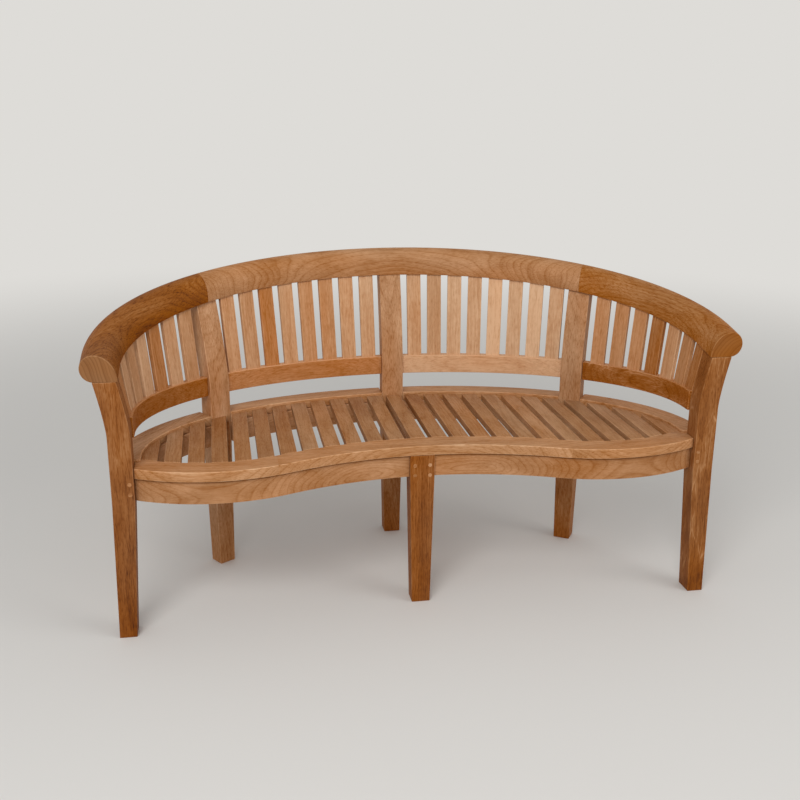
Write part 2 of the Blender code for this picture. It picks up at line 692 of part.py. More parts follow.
make_arm_post(-1)
make_arm_post(1)
for post_name, post_angle in back_posts.items():
    make_back_post("back_post_" + post_name, post_angle)
make_front_leg()
make_front_rims()
make_front_aprons()
make_rear_rims()
make_rear_aprons()
make_bearers()
make_back_panels()
make_top_rails()
make_seat_slats()
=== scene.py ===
from functools import partial
from itertools import product
from math import asin, atan, atan2, cos, hypot, pi, radians, sin, sqrt, tan
from random import Random

import bmesh
import bpy
from mathutils import Matrix, Vector


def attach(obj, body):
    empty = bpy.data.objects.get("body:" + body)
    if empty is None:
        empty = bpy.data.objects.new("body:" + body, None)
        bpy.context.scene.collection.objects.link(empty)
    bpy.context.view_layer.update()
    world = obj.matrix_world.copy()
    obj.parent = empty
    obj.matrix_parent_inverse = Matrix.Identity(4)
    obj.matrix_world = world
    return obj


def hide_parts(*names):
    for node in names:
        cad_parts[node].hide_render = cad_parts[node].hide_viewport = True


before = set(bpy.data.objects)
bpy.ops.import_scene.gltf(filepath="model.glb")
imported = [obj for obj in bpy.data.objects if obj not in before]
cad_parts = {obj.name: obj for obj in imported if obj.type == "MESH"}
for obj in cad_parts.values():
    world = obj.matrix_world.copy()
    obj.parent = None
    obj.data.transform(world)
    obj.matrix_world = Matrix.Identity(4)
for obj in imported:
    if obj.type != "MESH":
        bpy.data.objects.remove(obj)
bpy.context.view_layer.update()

# Gap where two pieces meet.
CLEARANCE = 0.0003

# Seat level and the boards round the seat.
SEAT_HEIGHT = 0.435
RIM_THICKNESS = 0.026
APRON_HEIGHT = 0.058
APRON_THICKNESS = 0.026

# Front edge of the seat.
FRONT_MIDDLE_Y = 0.062
SHOULDER_INSET = 0.1884
SHOULDER_Y = -0.039
SHOULDER_RADIUS = 0.4305
FRONT_RIM_WIDTH = 0.066
FRONT_RIM_JOINT_INSET = 0.135
RIM_JOINT_PLAY = 0.00004
FRONT_APRON_SETBACK = 0.009
SLAT_LEDGE_DEPTH = 0.012

# Back edge of the seat.
LIP_HALF_WIDTH = 0.6894
LIP_DEPTH = 0.4282
LIP_CENTRE_Y = 0.0853
REAR_RIM_WIDTH = 0.060
REAR_APRON_PROUD = 0.005

# Posts and the front leg.
ARM_POST_STEP = 0.0144
ARM_POST_WIDTH = 0.053
ARM_POST_DEPTH = 0.0541
ARM_POST_FOOT_WIDTH = 0.042
ARM_POST_FOOT_SPLAY = 0.007
SIDE_POST_ANGLE = radians(46)
BACK_POST_WIDTH = 0.061
BACK_POST_DEPTH = 0.048
BACK_POST_FOOT_WIDTH = 0.047
BACK_POST_FOOT_DEPTH = 0.045
FRONT_LEG_WIDTH = 0.063
FRONT_LEG_DEPTH = 0.056
FRONT_LEG_FOOT_WIDTH = 0.048
FRONT_LEG_FOOT_DEPTH = 0.046
FRONT_LEG_SETBACK = 0.001
KICK_START_RISE = 0.085
KICK_REACH = 0.057
KICK_POWER = 1.35

# Middle rail and top rail.
MID_RAIL_GAP = 0.055
MID_RAIL_HEIGHT = 0.052
MID_RAIL_SETBACK = 0.0105
MID_RAIL_THICKNESS = 0.026
TOP_RAIL_ARM_RISE = 0.216
TOP_RAIL_BACK_RISE = 0.344
TOP_RAIL_ARM_LAP = 0.0045
TOP_RAIL_BACK_LAP = 0.003
TOP_RAIL_SHIFT = 0.0235
TOP_RAIL_WIDTH = 0.083
TOP_RAIL_HEIGHT = 0.062

# Slats of the back and of the seat.
BACK_SLAT_WIDTH = 0.040
BACK_SLAT_THICKNESS = 0.013
BACK_SLAT_TENON = 0.014
BACK_SLAT_HEAD_TENON = 0.005
BACK_SLAT_TOP_SETBACK = 0.006
SEAT_SLATS = 25
SEAT_SLAT_INSET = 0.0186
SEAT_SLAT_WIDTH = 0.040
SEAT_SLAT_THICKNESS = 0.019

# Arrises sanded by hand, and the round plugs over the screws.
ARRIS = 0.0018
RIM_ARRIS = 0.0026
SLAT_ARRIS = 0.0014
ARRIS_ANGLE = radians(40)
CRISP_COSINE = cos(radians(65))
PLUG_RADIUS = 0.0048
PLUG_PROUD = 0.0002
PLUG_DEPTH = 0.004
PLUG_EDGE = 0.0003
PLUG_SIDES = 24
LEG_PLUG_HALF_SPACING = 0.0193
LEG_PLUG_HEIGHTS = (0.3823, 0.3555)
ARM_PLUG_INSET = 0.0097
ARM_PLUG_HEIGHTS = (0.400, 0.374)

# Corners of a post's section, in half widths across and depths back.
POST_CORNERS = ((-1, 0), (1, 0), (1, 1), (-1, 1))

# Steps along the curves, and in the searches for where boards meet.
KICK_STEPS = 20
BOARD_STEP = 0.008
RAIL_STEPS = 72
RAIL_TAIL_STEPS = 8
ROLL_STEPS = 14
LINE_STEPS = 160
SLAT_END_CUTS = 7
SEARCH_SPAN = pi / 8
SEARCH_STEPS = 40
LEVEL_STEPS = 12

FRONT_RIM_BOTTOM_Z = SEAT_HEIGHT - RIM_THICKNESS
FRONT_APRON_TOP_Z = FRONT_RIM_BOTTOM_Z - CLEARANCE
FRONT_APRON_BOTTOM_Z = FRONT_APRON_TOP_Z - APRON_HEIGHT
SLAT_BOTTOM_Z = SEAT_HEIGHT - SEAT_SLAT_THICKNESS
SLAT_SEAT_Z = SLAT_BOTTOM_Z - CLEARANCE
REAR_RIM_TOP_Z = SLAT_BOTTOM_Z + RIM_THICKNESS
REAR_APRON_BOTTOM_Z = SLAT_SEAT_Z - APRON_HEIGHT
MID_RAIL_BOTTOM_Z = REAR_RIM_TOP_Z + MID_RAIL_GAP
MID_RAIL_TOP_Z = MID_RAIL_BOTTOM_Z + MID_RAIL_HEIGHT
KICK_START_Z = SEAT_HEIGHT + KICK_START_RISE
TOP_RAIL_ARM_Z = SEAT_HEIGHT + TOP_RAIL_ARM_RISE
TOP_RAIL_BACK_Z = SEAT_HEIGHT + TOP_RAIL_BACK_RISE


def kick(z):
    """How far a post leans outwards at height z."""
    if z <= KICK_START_Z:
        return 0.0
    return KICK_REACH * ((z - KICK_START_Z) / (TOP_RAIL_BACK_Z - KICK_START_Z)) ** KICK_POWER


SHOULDER_X = LIP_HALF_WIDTH - SHOULDER_INSET
FRONT_RIM_JOINT_X = SHOULDER_X - FRONT_RIM_JOINT_INSET
LEDGE_OFFSET = FRONT_RIM_WIDTH + SLAT_LEDGE_DEPTH
ARM_POST_INNER_X = LIP_HALF_WIDTH + ARM_POST_STEP
ARM_POST_BACK_Y = ARM_POST_DEPTH + CLEARANCE
FRONT_LEG_Y = FRONT_MIDDLE_Y + FRONT_LEG_SETBACK
SEAT_SLAT_PITCH = 2 * (LIP_HALF_WIDTH - SEAT_SLAT_INSET) / (SEAT_SLATS - 1)
TOP_RAIL_HALF_WIDTH = ARM_POST_INNER_X + kick(TOP_RAIL_ARM_Z) - TOP_RAIL_ARM_LAP
TOP_RAIL_BACK_Y = LIP_CENTRE_Y + LIP_DEPTH + KICK_REACH - TOP_RAIL_BACK_LAP
TOP_RAIL_CENTRE_Y = LIP_CENTRE_Y - TOP_RAIL_SHIFT
TOP_RAIL_DEPTH = TOP_RAIL_BACK_Y - TOP_RAIL_CENTRE_Y
RAIL_TILT = atan((TOP_RAIL_BACK_Z - TOP_RAIL_ARM_Z) / TOP_RAIL_BACK_Y)
RAIL_ROUND = TOP_RAIL_HEIGHT / 2
RAIL_FLAT = TOP_RAIL_WIDTH - RAIL_ROUND
BACK_MOST_Y = TOP_RAIL_BACK_Y + RAIL_FLAT * cos(RAIL_TILT) - RAIL_ROUND * sin(RAIL_TILT) + RAIL_ROUND
FOOTPRINT_SHIFT = Vector((0, -(SHOULDER_Y + BACK_MOST_Y) / 2, 0))

SHOULDER_CENTRE_Y = SHOULDER_Y + SHOULDER_RADIUS
HOLLOW_RISE = SHOULDER_CENTRE_Y - FRONT_MIDDLE_Y
SHOULDER_SQUARES = SHOULDER_X ** 2 + HOLLOW_RISE ** 2 - SHOULDER_RADIUS ** 2
HOLLOW_RADIUS = SHOULDER_SQUARES / (2 * (SHOULDER_RADIUS - HOLLOW_RISE))
HOLLOW_CENTRE_Y = FRONT_MIDDLE_Y - HOLLOW_RADIUS
HOLLOW_ANGLE = atan2(SHOULDER_X, SHOULDER_CENTRE_Y - HOLLOW_CENTRE_Y)

THIRDS = ("left", "centre", "right")
SIDES = ((-1, "left"), (1, "right"))

# Stretches of the back: name, and the angles of the posts that bound it; None is an arm post.
BACK_STRETCHES = (("left", None, -SIDE_POST_ANGLE), ("left_centre", -SIDE_POST_ANGLE, 0),
                  ("right_centre", 0, SIDE_POST_ANGLE), ("right", SIDE_POST_ANGLE, None))

# Chance, the same in every run, for the boards' places in their planks and the seat slats' tones.
BOARD_SEED = 11
chance = Random(BOARD_SEED)


def spread(first, last, steps):
    """Evenly spaced values from first to last, both included."""
    return [first + (last - first) * step / steps for step in range(steps + 1)]


def front_y(x, offset):
    """Y of the seat's front edge at x, with the edge moved back by offset."""
    side = abs(x)
    hollow = HOLLOW_RADIUS + offset
    if side <= hollow * sin(HOLLOW_ANGLE):
        return HOLLOW_CENTRE_Y + sqrt(hollow ** 2 - side ** 2)
    return SHOULDER_CENTRE_Y - sqrt((SHOULDER_RADIUS - offset) ** 2 - (side - SHOULDER_X) ** 2)


def arc_point(half_width, depth, centre_y, angle):
    """Point of half an ellipse with straight ends; angle 0 is its back, and positive angles lie at +X."""
    side = 1 if angle > 0 else -1
    past_end = abs(angle) - pi / 2
    if past_end > 0:
        return Vector((side * half_width, centre_y - depth * past_end))
    return Vector((half_width * sin(angle), centre_y + depth * cos(angle)))


def lip_point(angle, offset):
    """Point of the seat's back edge, moved outwards by offset."""
    return arc_point(LIP_HALF_WIDTH + offset, LIP_DEPTH + offset, LIP_CENTRE_Y, angle)


def rail_point(angle, offset):
    """Plan point of the top rail's lower inner edge, moved outwards by offset."""
    return arc_point(TOP_RAIL_HALF_WIDTH + offset, TOP_RAIL_DEPTH + offset, TOP_RAIL_CENTRE_Y, angle)


def lip_end_angle(offset):
    """Angle at which the offset back edge meets the back face of an arm post."""
    return pi / 2 + (LIP_CENTRE_Y - ARM_POST_BACK_Y) / (LIP_DEPTH + offset)


def rail_end_angle(offset):
    """Angle at which the offset top rail passes the back face of an arm post."""
    return pi / 2 + (TOP_RAIL_CENTRE_Y - ARM_POST_BACK_Y) / (TOP_RAIL_DEPTH + offset)


def edge_direction(angle):
    """Direction in plan along the back edge, towards +X."""
    turned = max(-pi / 2, min(angle, pi / 2))
    return Vector((LIP_HALF_WIDTH * cos(turned), -LIP_DEPTH * sin(turned))).normalized()


def rail_underside_z(y):
    """Height of the plane of the top rail's underside."""
    return TOP_RAIL_ARM_Z + y * tan(RAIL_TILT)


def angle_beside_post(offset, post_angle, side):
    """Angle at which the offset back edge meets one side face of a back post."""
    post = lip_point(post_angle, 0)
    along = edge_direction(post_angle)
    near, far = post_angle, post_angle + side * SEARCH_SPAN
    for _ in range(SEARCH_STEPS):
        middle = (near + far) / 2
        inside = side * (lip_point(middle, offset) - post).dot(along) < BACK_POST_WIDTH / 2 + CLEARANCE
        near, far = (middle, far) if inside else (near, middle)
    return far


def loft(rings):
    """A closed solid through rings that all have the same count of points."""
    shell = bmesh.new()
    rows = [[shell.verts.new(point) for point in ring] for ring in rings]
    for row, following in zip(rows, rows[1:]):
        for index, corner in enumerate(row):
            after = (index + 1) % len(row)
            shell.faces.new((corner, row[after], following[after], following[index]))
    shell.faces.new(rows[0])
    shell.faces.new(rows[-1])
    bmesh.ops.recalc_face_normals(shell, faces=shell.faces)
    return shell


def at_board_joint(place):
    """Whether a point lies where two boards of the top rail or of the front rim meet end to end."""
    spot = Vector((abs(place.x), place.y))
    rail_gap = (spot - lip_point(SIDE_POST_ANGLE, 0)).dot(edge_direction(SIDE_POST_ANGLE))
    rim_gap = spot.x - FRONT_RIM_JOINT_X
    return abs(rail_gap if place.z > MID_RAIL_TOP_Z else rim_gap) < CLEARANCE


def ease_arrises(shell, width):
    """Rounds every sharp edge but those of joints, and marks the points on a rounded edge."""
    sharp = [edge for edge in shell.edges if edge.is_manifold and edge.calc_face_angle() > ARRIS_ANGLE
             and not all(at_board_joint(vert.co) for vert in edge.verts)]
    rounded = bmesh.ops.bevel(shell, geom=sharp, offset=width, offset_type="OFFSET", segments=2, profile=0.5,
                              affect="EDGES", clamp_overlap=True)
    on_arris = set(rounded["faces"])
    layer = shell.verts.layers.float.new("arris")
    for vert in shell.verts:
        vert[layer] = float(all(face in on_arris for face in vert.link_faces))


def add_object(name, data):
    """A new object in the scene."""
    thing = bpy.data.objects.new(name, data)
    bpy.context.scene.collection.objects.link(thing)
    return thing


def add_mesh(name, shell):
    """The mesh of a shell that needs no more work."""
    mesh = bpy.data.meshes.new(name)
    shell.to_mesh(mesh)
    shell.free()
    return mesh


def evaluated_mesh(thing):
    """The mesh of an object as its modifiers leave it."""
    return bpy.data.meshes.new_from_object(thing.evaluated_get(bpy.context.evaluated_depsgraph_get()))


def cut(mesh, low, high):
    """The mesh of a solid with a box taken out of it."""
    box = bmesh.new()
    size = [top - bottom for bottom, top in zip(low, high)]
    middle = [(top + bottom) / 2 for bottom, top in zip(low, high)]
    bmesh.ops.create_cube(box, size=1, matrix=Matrix.Translation(middle) @ Matrix.Diagonal((*size, 1)))
    pair = [add_object("solid", mesh), add_object("cutter", add_mesh("cutter", box))]
    notch = pair[0].modifiers.new("notch", "BOOLEAN")
    notch.operation = "DIFFERENCE"
    notch.solver = "EXACT"
    notch.object = pair[1]
    notched = evaluated_mesh(pair[0])
    for thing in pair:
        bpy.data.objects.remove(thing)
    return notched


def smooth_shading(mesh):
    """Large faces stay flat and rounded edges turn smoothly, with a crisp line where an edge is sharp."""
    shell = bmesh.new()
    shell.from_mesh(mesh)
    leans = {face: face.normal * face.calc_area() for face in shell.faces}
    normals = []
    for face in shell.faces:
        for corner in face.loops:
            near = [leans[other] for other in corner.vert.link_faces
                    if other.normal.dot(face.normal) > CRISP_COSINE]
            normals.append(sum(near, Vector()).normalized())
    shell.free()
    mesh.shade_smooth()
    mesh.normals_split_custom_set(normals)


def set_values(mesh, **layers):
    """Keeps a number or a vector for each point of a mesh, under each of these names."""
    for name, values in layers.items():
        kind, field = ("FLOAT_VECTOR", "vector") if isinstance(values[0], Vector) else ("FLOAT", "value")
        for item, value in zip(mesh.attributes.new(name, kind, "POINT").data, values):
            setattr(item, field, value)


def set_tones(mesh, own, *places):
    """Gives a board its own tone and redness, plus those of each place by a point's share in that place."""
    tone, redness = [[own[index] + sum(step[index] * share(vert.co) for step, share in places)
                      for vert in mesh.vertices] for index in (0, 1)]
    set_values(mesh, tone=tone, redness=redness)


def tone_copies(mesh, tones):
    """Gives each copy in a mesh of equal copies its own tone and redness."""
    points = len(mesh.vertices) // len(tones)
    set_values(mesh, tone=[tone for tone, _ in tones for _ in range(points)],
               redness=[redness for _, redness in tones for _ in range(points)])


def keep_plank(mesh, along, facing, pith):
    """Notes each point's place in the plank it was sawn from, with the pith on its X axis."""
    grain_x = Vector(along).normalized()
    grain_y = (Vector(facing) - grain_x * grain_x.dot(Vector(facing))).normalized()
    turn = Matrix((grain_x, grain_y, grain_x.cross(grain_y)))
    middle = sum((vert.co for vert in mesh.vertices), Vector()) / len(mesh.vertices)
    shift = Vector((chance.uniform(0, PLANK_LENGTH), *pith))
    set_values(mesh, grain=[turn @ (vert.co - middle) + shift for vert in mesh.vertices])


def finish_piece(name, mesh, slot, nodes, wood=None):
    """Puts a finished mesh in place as one named piece of the bench; its wood may differ from its group's."""
    mesh.transform(Matrix.Translation(FOOTPRINT_SHIFT))
    smooth_shading(mesh)
    mesh.materials.clear()
    mesh.materials.append(teak[wood or slot])
    piece = add_object(name, mesh)
    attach(piece, "root")
    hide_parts(*nodes)
    return piece


def finish_board(node, shell, slot, tones, plank=None, arris=ARRIS, notch=None, name=None, wood=None):
    """Eases a board's edges, notes how it lay in its plank, and puts it in place of its node."""
    ease_arrises(shell, arris)
    mesh = add_mesh(node, shell)
    if notch:
        mesh = cut(mesh, *notch)
    keep_plank(mesh, *(plank or PLANKS[node]))
    set_tones(mesh, *tones)
    return finish_piece(name or node + "_timber", mesh, slot, [node], wood)


def near_ground(place):
    """How much painted shade darkens a post towards the ground: 1 there, and 0 from seat level up."""
    return max(0, 1 - place.z / SEAT_HEIGHT)


def soiled(place):
    """Whether a point lies in the strip of painted shade along the top of the front aprons, up under the rim.
    """
    return place.z > FRONT_APRON_TOP_Z - APRON_SHADE_HEIGHT + CLEARANCE


def bleached(place):
    """Whether a point lies on top of the middle rail, which is paler there."""
    return place.z > MID_RAIL_TOP_Z - ARRIS / 8


def at_arm_end(place):
    """How much of an arm's end grain shows at a point."""
    return max(0, 1 - place.y / END_GRAIN_DEPTH)


def near_arm_front(place):
    """How much painted shade darkens the top rail at a point towards an arm's front."""
    return max(0, 1 - place.y / ARM_FRONT_SHADE_LENGTH) * (1 - at_arm_end(place))


def low_on_rail(place):
    """How near a point of the top rail lies to its underside."""
    return max(0, 1 - (place.z - rail_underside_z(place.y)) / LOW_WOOD_HEIGHT) * (1 - at_arm_end(place))


def make_arm_post(side, name, own, foot):
    """Arm post: tapered and splayed at the foot, leaning outwards under the arm."""
    rings = []
    for z in [0, FRONT_APRON_BOTTOM_Z] + spread(KICK_START_Z, TOP_RAIL_ARM_Z, KICK_STEPS):
        width = ARM_POST_WIDTH if z else ARM_POST_FOOT_WIDTH
        splay = 0 if z else ARM_POST_FOOT_SPLAY
        ring = []
        for across, back in POST_CORNERS:
            y = back * ARM_POST_DEPTH
            rise = (rail_underside_z(y) - CLEARANCE - KICK_START_Z) / (TOP_RAIL_ARM_Z - KICK_START_Z)
            level = min(z, KICK_START_Z) + max(0, z - KICK_START_Z) * rise
            outer = ARM_POST_INNER_X + ARM_POST_WIDTH + splay + kick(level)
            ring.append((side * (outer - width * (across < 0)), y, level))
        rings.append(ring)
    # The foot pair is painted shade: it darkens and reddens the post towards the ground.
    finish_board("arm_post_" + name, loft(rings), "teak_posts", (own, (foot, near_ground)),
                 wood="teak_marked" if side > 0 else None)


def make_back_post(name, angle, pith, own, foot):
    """Back post: tapered below the seat, leaning back above it."""
    along = edge_direction(angle)
    outwards = Vector((-along.y, along.x))

    def corner(x, y, z):
        spot = lip_point(angle, 0) + along * x + outwards * (y + kick(z))
        return (spot.x, spot.y, z)

    # Part -2 is the foot and -1 the top of the taper; the post leans from 0 to 1.
    rings = []
    for part in [-2, -1] + spread(0, 1, KICK_STEPS):
        width = BACK_POST_FOOT_WIDTH if part == -2 else BACK_POST_WIDTH
        depth = BACK_POST_FOOT_DEPTH if part == -2 else BACK_POST_DEPTH
        ring = []
        for across, back in POST_CORNERS:
            x, y = across * width / 2, back * depth
            top = TOP_RAIL_BACK_Z
            for _ in range(LEVEL_STEPS):
                top = rail_underside_z(corner(x, y, top)[1]) - CLEARANCE
            level = KICK_START_Z + part * (top - KICK_START_Z)
            if part < 0:
                level = 0 if part == -2 else REAR_APRON_BOTTOM_Z
            ring.append(corner(x, y, level))
        rings.append(ring)
    plank = ((0, BACK_POST_LEAN * outwards.y, 1), (-outwards.x, -outwards.y, 0), pith)
    # The foot pair is painted shade: it darkens and reddens the post towards the ground.
    finish_board("back_post_" + name, loft(rings), "teak_posts", (own, (foot, near_ground)), plank)


def make_front_leg(tones):
    """Front leg in the middle, under the front rim."""
    rings = [[(across * width / 2, FRONT_LEG_Y + back * depth, z) for across, back in POST_CORNERS]
             for z, width, depth in ((0, FRONT_LEG_FOOT_WIDTH, FRONT_LEG_FOOT_DEPTH),
                                     (FRONT_APRON_BOTTOM_Z, FRONT_LEG_WIDTH, FRONT_LEG_DEPTH),
                                     (FRONT_APRON_TOP_Z, FRONT_LEG_WIDTH, FRONT_LEG_DEPTH))]
    finish_board("front_leg", loft(rings), "teak_posts", tones)


def make_front_rims(tones):
    """Front rim in three boards, rebated along the inner edge for the slats."""
    joint = FRONT_RIM_JOINT_X - RIM_JOINT_PLAY / 2
    first = FRONT_RIM_JOINT_X + RIM_JOINT_PLAY / 2
    last = ARM_POST_INNER_X - CLEARANCE
    section = [(0, FRONT_RIM_BOTTOM_Z), (0, SEAT_HEIGHT), (FRONT_RIM_WIDTH, SEAT_HEIGHT),
               (FRONT_RIM_WIDTH, SLAT_SEAT_Z), (LEDGE_OFFSET, SLAT_SEAT_Z),
               (LEDGE_OFFSET, FRONT_RIM_BOTTOM_Z)]
    boards = ((-1, -last, -first), (0, -joint, joint), (1, first, last))
    for name, (side, start, stop), own in zip(THIRDS, boards, tones):
        places = spread(start, stop, round((stop - start) / BOARD_STEP))
        rings = [[(x, front_y(x, offset), z) for offset, z in section] for x in places]
        reach = sorted((side * (LIP_HALF_WIDTH - CLEARANCE), side * (ARM_POST_INNER_X + RIM_THICKNESS)))
        notch = ((reach[0], ARM_POST_DEPTH, 0), (reach[1], LIP_CENTRE_Y + REAR_RIM_WIDTH, 2 * SEAT_HEIGHT))
        finish_board("front_rim_" + name, loft(rings), "teak_rims", (own,), arris=RIM_ARRIS,
                     notch=notch if side else None)


def make_front_aprons(tones):
    """Front aprons, from the front leg to the arm posts."""
    inner = FRONT_LEG_WIDTH / 2 + CLEARANCE
    outer = ARM_POST_INNER_X - CLEARANCE
    near = FRONT_APRON_SETBACK
    far = FRONT_APRON_SETBACK + APRON_THICKNESS
    # The middle row of points marks where the painted shade under the rim begins.
    section = [(near, FRONT_APRON_BOTTOM_Z), (near, FRONT_APRON_TOP_Z - APRON_SHADE_HEIGHT),
               (near, FRONT_APRON_TOP_Z), (far, FRONT_APRON_TOP_Z), (far, FRONT_APRON_BOTTOM_Z)]
    for (side, name), own in zip(SIDES, tones):
        places = spread(side * inner, side * outer, round((outer - inner) / BOARD_STEP))
        rings = [[(x, front_y(x, offset), z) for offset, z in section] for x in places]
        finish_board("front_apron_" + name, loft(rings), "teak_aprons", (own, (APRON_SHADE_TONE, soiled)))


def back_angles(first, last, offset, steps):
    """Angles along one stretch of the back, from face to face of its posts, at an offset."""
    start = -lip_end_angle(offset) if first is None else angle_beside_post(offset, first, 1)
    stop = lip_end_angle(offset) if last is None else angle_beside_post(offset, last, -1)
    return spread(start, stop, steps)


def make_back_boards(prefix, offsets, low, high, slot, facing_z, pith, tones, places=(), arris=ARRIS):
    """The four boards of one ring of boards round the back: rims, aprons or middle rails."""
    steps = round(pi / 4 * (LIP_HALF_WIDTH + offsets[1]) / BOARD_STEP)
    for (name, first, last), own in zip(BACK_STRETCHES, tones):
        inner, outer = [[lip_point(angle, offset) for angle in back_angles(first, last, offset, steps)]
                        for offset in offsets]
        rings = [[(a.x, a.y, low), (a.x, a.y, high), (b.x, b.y, high), (b.x, b.y, low)]
                 for a, b in zip(inner, outer)]
        chord = inner[-1] - inner[0]
        plank = ((chord.x, chord.y, 0), (chord.y, -chord.x, facing_z * chord.length), pith)
        notch = None
        if prefix == "rear_apron" and None in (first, last):
            side = -1 if first is None else 1
            reach = sorted(side * LIP_HALF_WIDTH + part * APRON_THICKNESS for part in (-1, 1))
            back = front_y(LIP_HALF_WIDTH, LEDGE_OFFSET + CLEARANCE)
            notch = ((reach[0], 0, FRONT_APRON_TOP_Z), (reach[1], back, 2 * SEAT_HEIGHT))
        node = ("back_panel_" if prefix == "mid_rail" else prefix + "_") + name
        finish_board(node, loft(rings), slot, (own, *places), plank, arris, notch, f"{prefix}_{name}_timber",
                     "teak_marked" if node == "back_panel_right" else None)


def set_inputs(tree, node, inputs):
    """Gives a node's inputs, by place or name, values or links; a node stands for its first output."""
    for key, value in inputs.items() if isinstance(inputs, dict) else enumerate(inputs):
        if isinstance(value, bpy.types.Node):
            value = value.outputs[0]
        if isinstance(value, bpy.types.NodeSocket):
            tree.links.new(value, node.inputs[key])
        else:
            node.inputs[key].default_value = value


def add_node(tree, kind, inputs=(), **settings):
    """Adds a node with its settings and inputs."""
    node = tree.nodes.new(kind)
    for name, value in settings.items():
        setattr(node, name, value)
    set_inputs(tree, node, inputs)
    return node


# Kinds of nodes that come up often.
MATH = "ShaderNodeMath"
VECTOR_MATH = "ShaderNodeVectorMath"
SPLIT = "ShaderNodeSeparateXYZ"
JOIN = "ShaderNodeCombineXYZ"
RANGE = "ShaderNodeMapRange"
OBJECT = "GeometryNodeObjectInfo"
POSITION = "GeometryNodeInputPosition"
INDEX = "GeometryNodeInputIndex"
STORE = "GeometryNodeStoreNamedAttribute"
READ = "GeometryNodeInputNamedAttribute"
SAMPLE = "GeometryNodeSampleIndex"


def grow(name, build, values):
    """Runs a tree of geometry nodes with these named inputs and gives the mesh that it makes."""
    tree = bpy.data.node_groups.new(name, "GeometryNodeTree")
    tree.interface.new_socket("Geometry", in_out="OUTPUT", socket_type="NodeSocketGeometry")
    for label, value in values.items():
        # Float, Int, Object or Material, as the value is.
        kind = "NodeSocket" + type(value).__name__.capitalize()
        tree.interface.new_socket(label, in_out="INPUT", socket_type=kind)
    add = partial(add_node, tree)
    given = add("NodeGroupInput").outputs
    real = add("GeometryNodeRealizeInstances", (build(add, given),))
    painted = add("GeometryNodeSetMaterial", {"Geometry": real, "Material": given["Teak"]})
    add("NodeGroupOutput", (painted,))
    holder = add_object(name, bpy.data.meshes.new(name))
    modifier = holder.modifiers.new(name, "NODES")
    modifier.node_group = tree
    for item in tree.interface.items_tree:
        if item.in_out == "INPUT":
            modifier[item.identifier] = values[item.name]
    grown = evaluated_mesh(holder)
    holder.modifiers.remove(modifier)
    bpy.data.objects.remove(holder)
    return grown


def helper_object(name, data):
    """An object that only a tree reads."""
    helpers.append(add_object(name, data))
    return helpers[-1]


def helper_mesh(name, shell):
    """A shell that only a tree reads."""
    return helper_object(name, add_mesh(name, shell))


def line_object(name, points):
    """A curve through these points, for slats to stand on."""
    curve = bpy.data.curves.new(name, "CURVE")
    curve.dimensions = "3D"
    spline = curve.splines.new("POLY")
    spline.points.add(len(points) - 1)
    for point, place in zip(spline.points, points):
        point.co = (*place, 1)
    return helper_object(name, curve)


def slat_blank(size, cuts=0):
    """A slat of length 1 with eased edges, its broad face crossed by cuts."""
    shell = bmesh.new()
    bmesh.ops.create_cube(shell, size=1, matrix=Matrix.Diagonal((*size, 1)))
    if cuts:
        across = [edge for edge in shell.edges
                  if abs(edge.verts[0].co.x - edge.verts[1].co.x) > size[0] / 2]
        bmesh.ops.subdivide_edges(shell, edges=across, cuts=cuts, use_grid_fill=True)
    ease_arrises(shell, SLAT_ARRIS)
    return helper_mesh("slat_blank", shell)


def rail_section():
    """Section of the top rail, outwards and upwards: a swept-back inner face and a round outer roll."""
    inner = [(RAIL_FLAT * (1 - cos(angle)), TOP_RAIL_HEIGHT * sin(angle))
             for angle in spread(0, pi / 2, ROLL_STEPS)]
    outer = [(RAIL_FLAT + RAIL_ROUND * sin(angle), RAIL_ROUND + RAIL_ROUND * cos(angle))
             for angle in spread(0, pi, 2 * ROLL_STEPS)]
    return inner + outer[1:]


def joint_angle(out, up, play):
    """Angle at which a line along the top rail meets the upright plane through a side post, plus play."""
    along = edge_direction(SIDE_POST_ANGLE)
    across = (TOP_RAIL_HALF_WIDTH + out) * along.x
    back = (TOP_RAIL_DEPTH + out * cos(RAIL_TILT)) * along.y
    middle_y = TOP_RAIL_CENTRE_Y - up * sin(RAIL_TILT)
    reach = lip_point(SIDE_POST_ANGLE, 0).dot(along) + play - middle_y * along.y
    return asin(reach / hypot(across, back)) - atan2(back, across)


def section_object(end_angles):
    """The top rail's section for a tree to read; each point carries its two end angles of the ellipse."""
    profile = bmesh.new()
    for out, up in rail_section():
        profile.verts.new((out, up, 0))
    section = helper_mesh("rail_section", profile)
    first, last = zip(*end_angles)
    set_values(section.data, first_angle=first, last_angle=last)
    return section


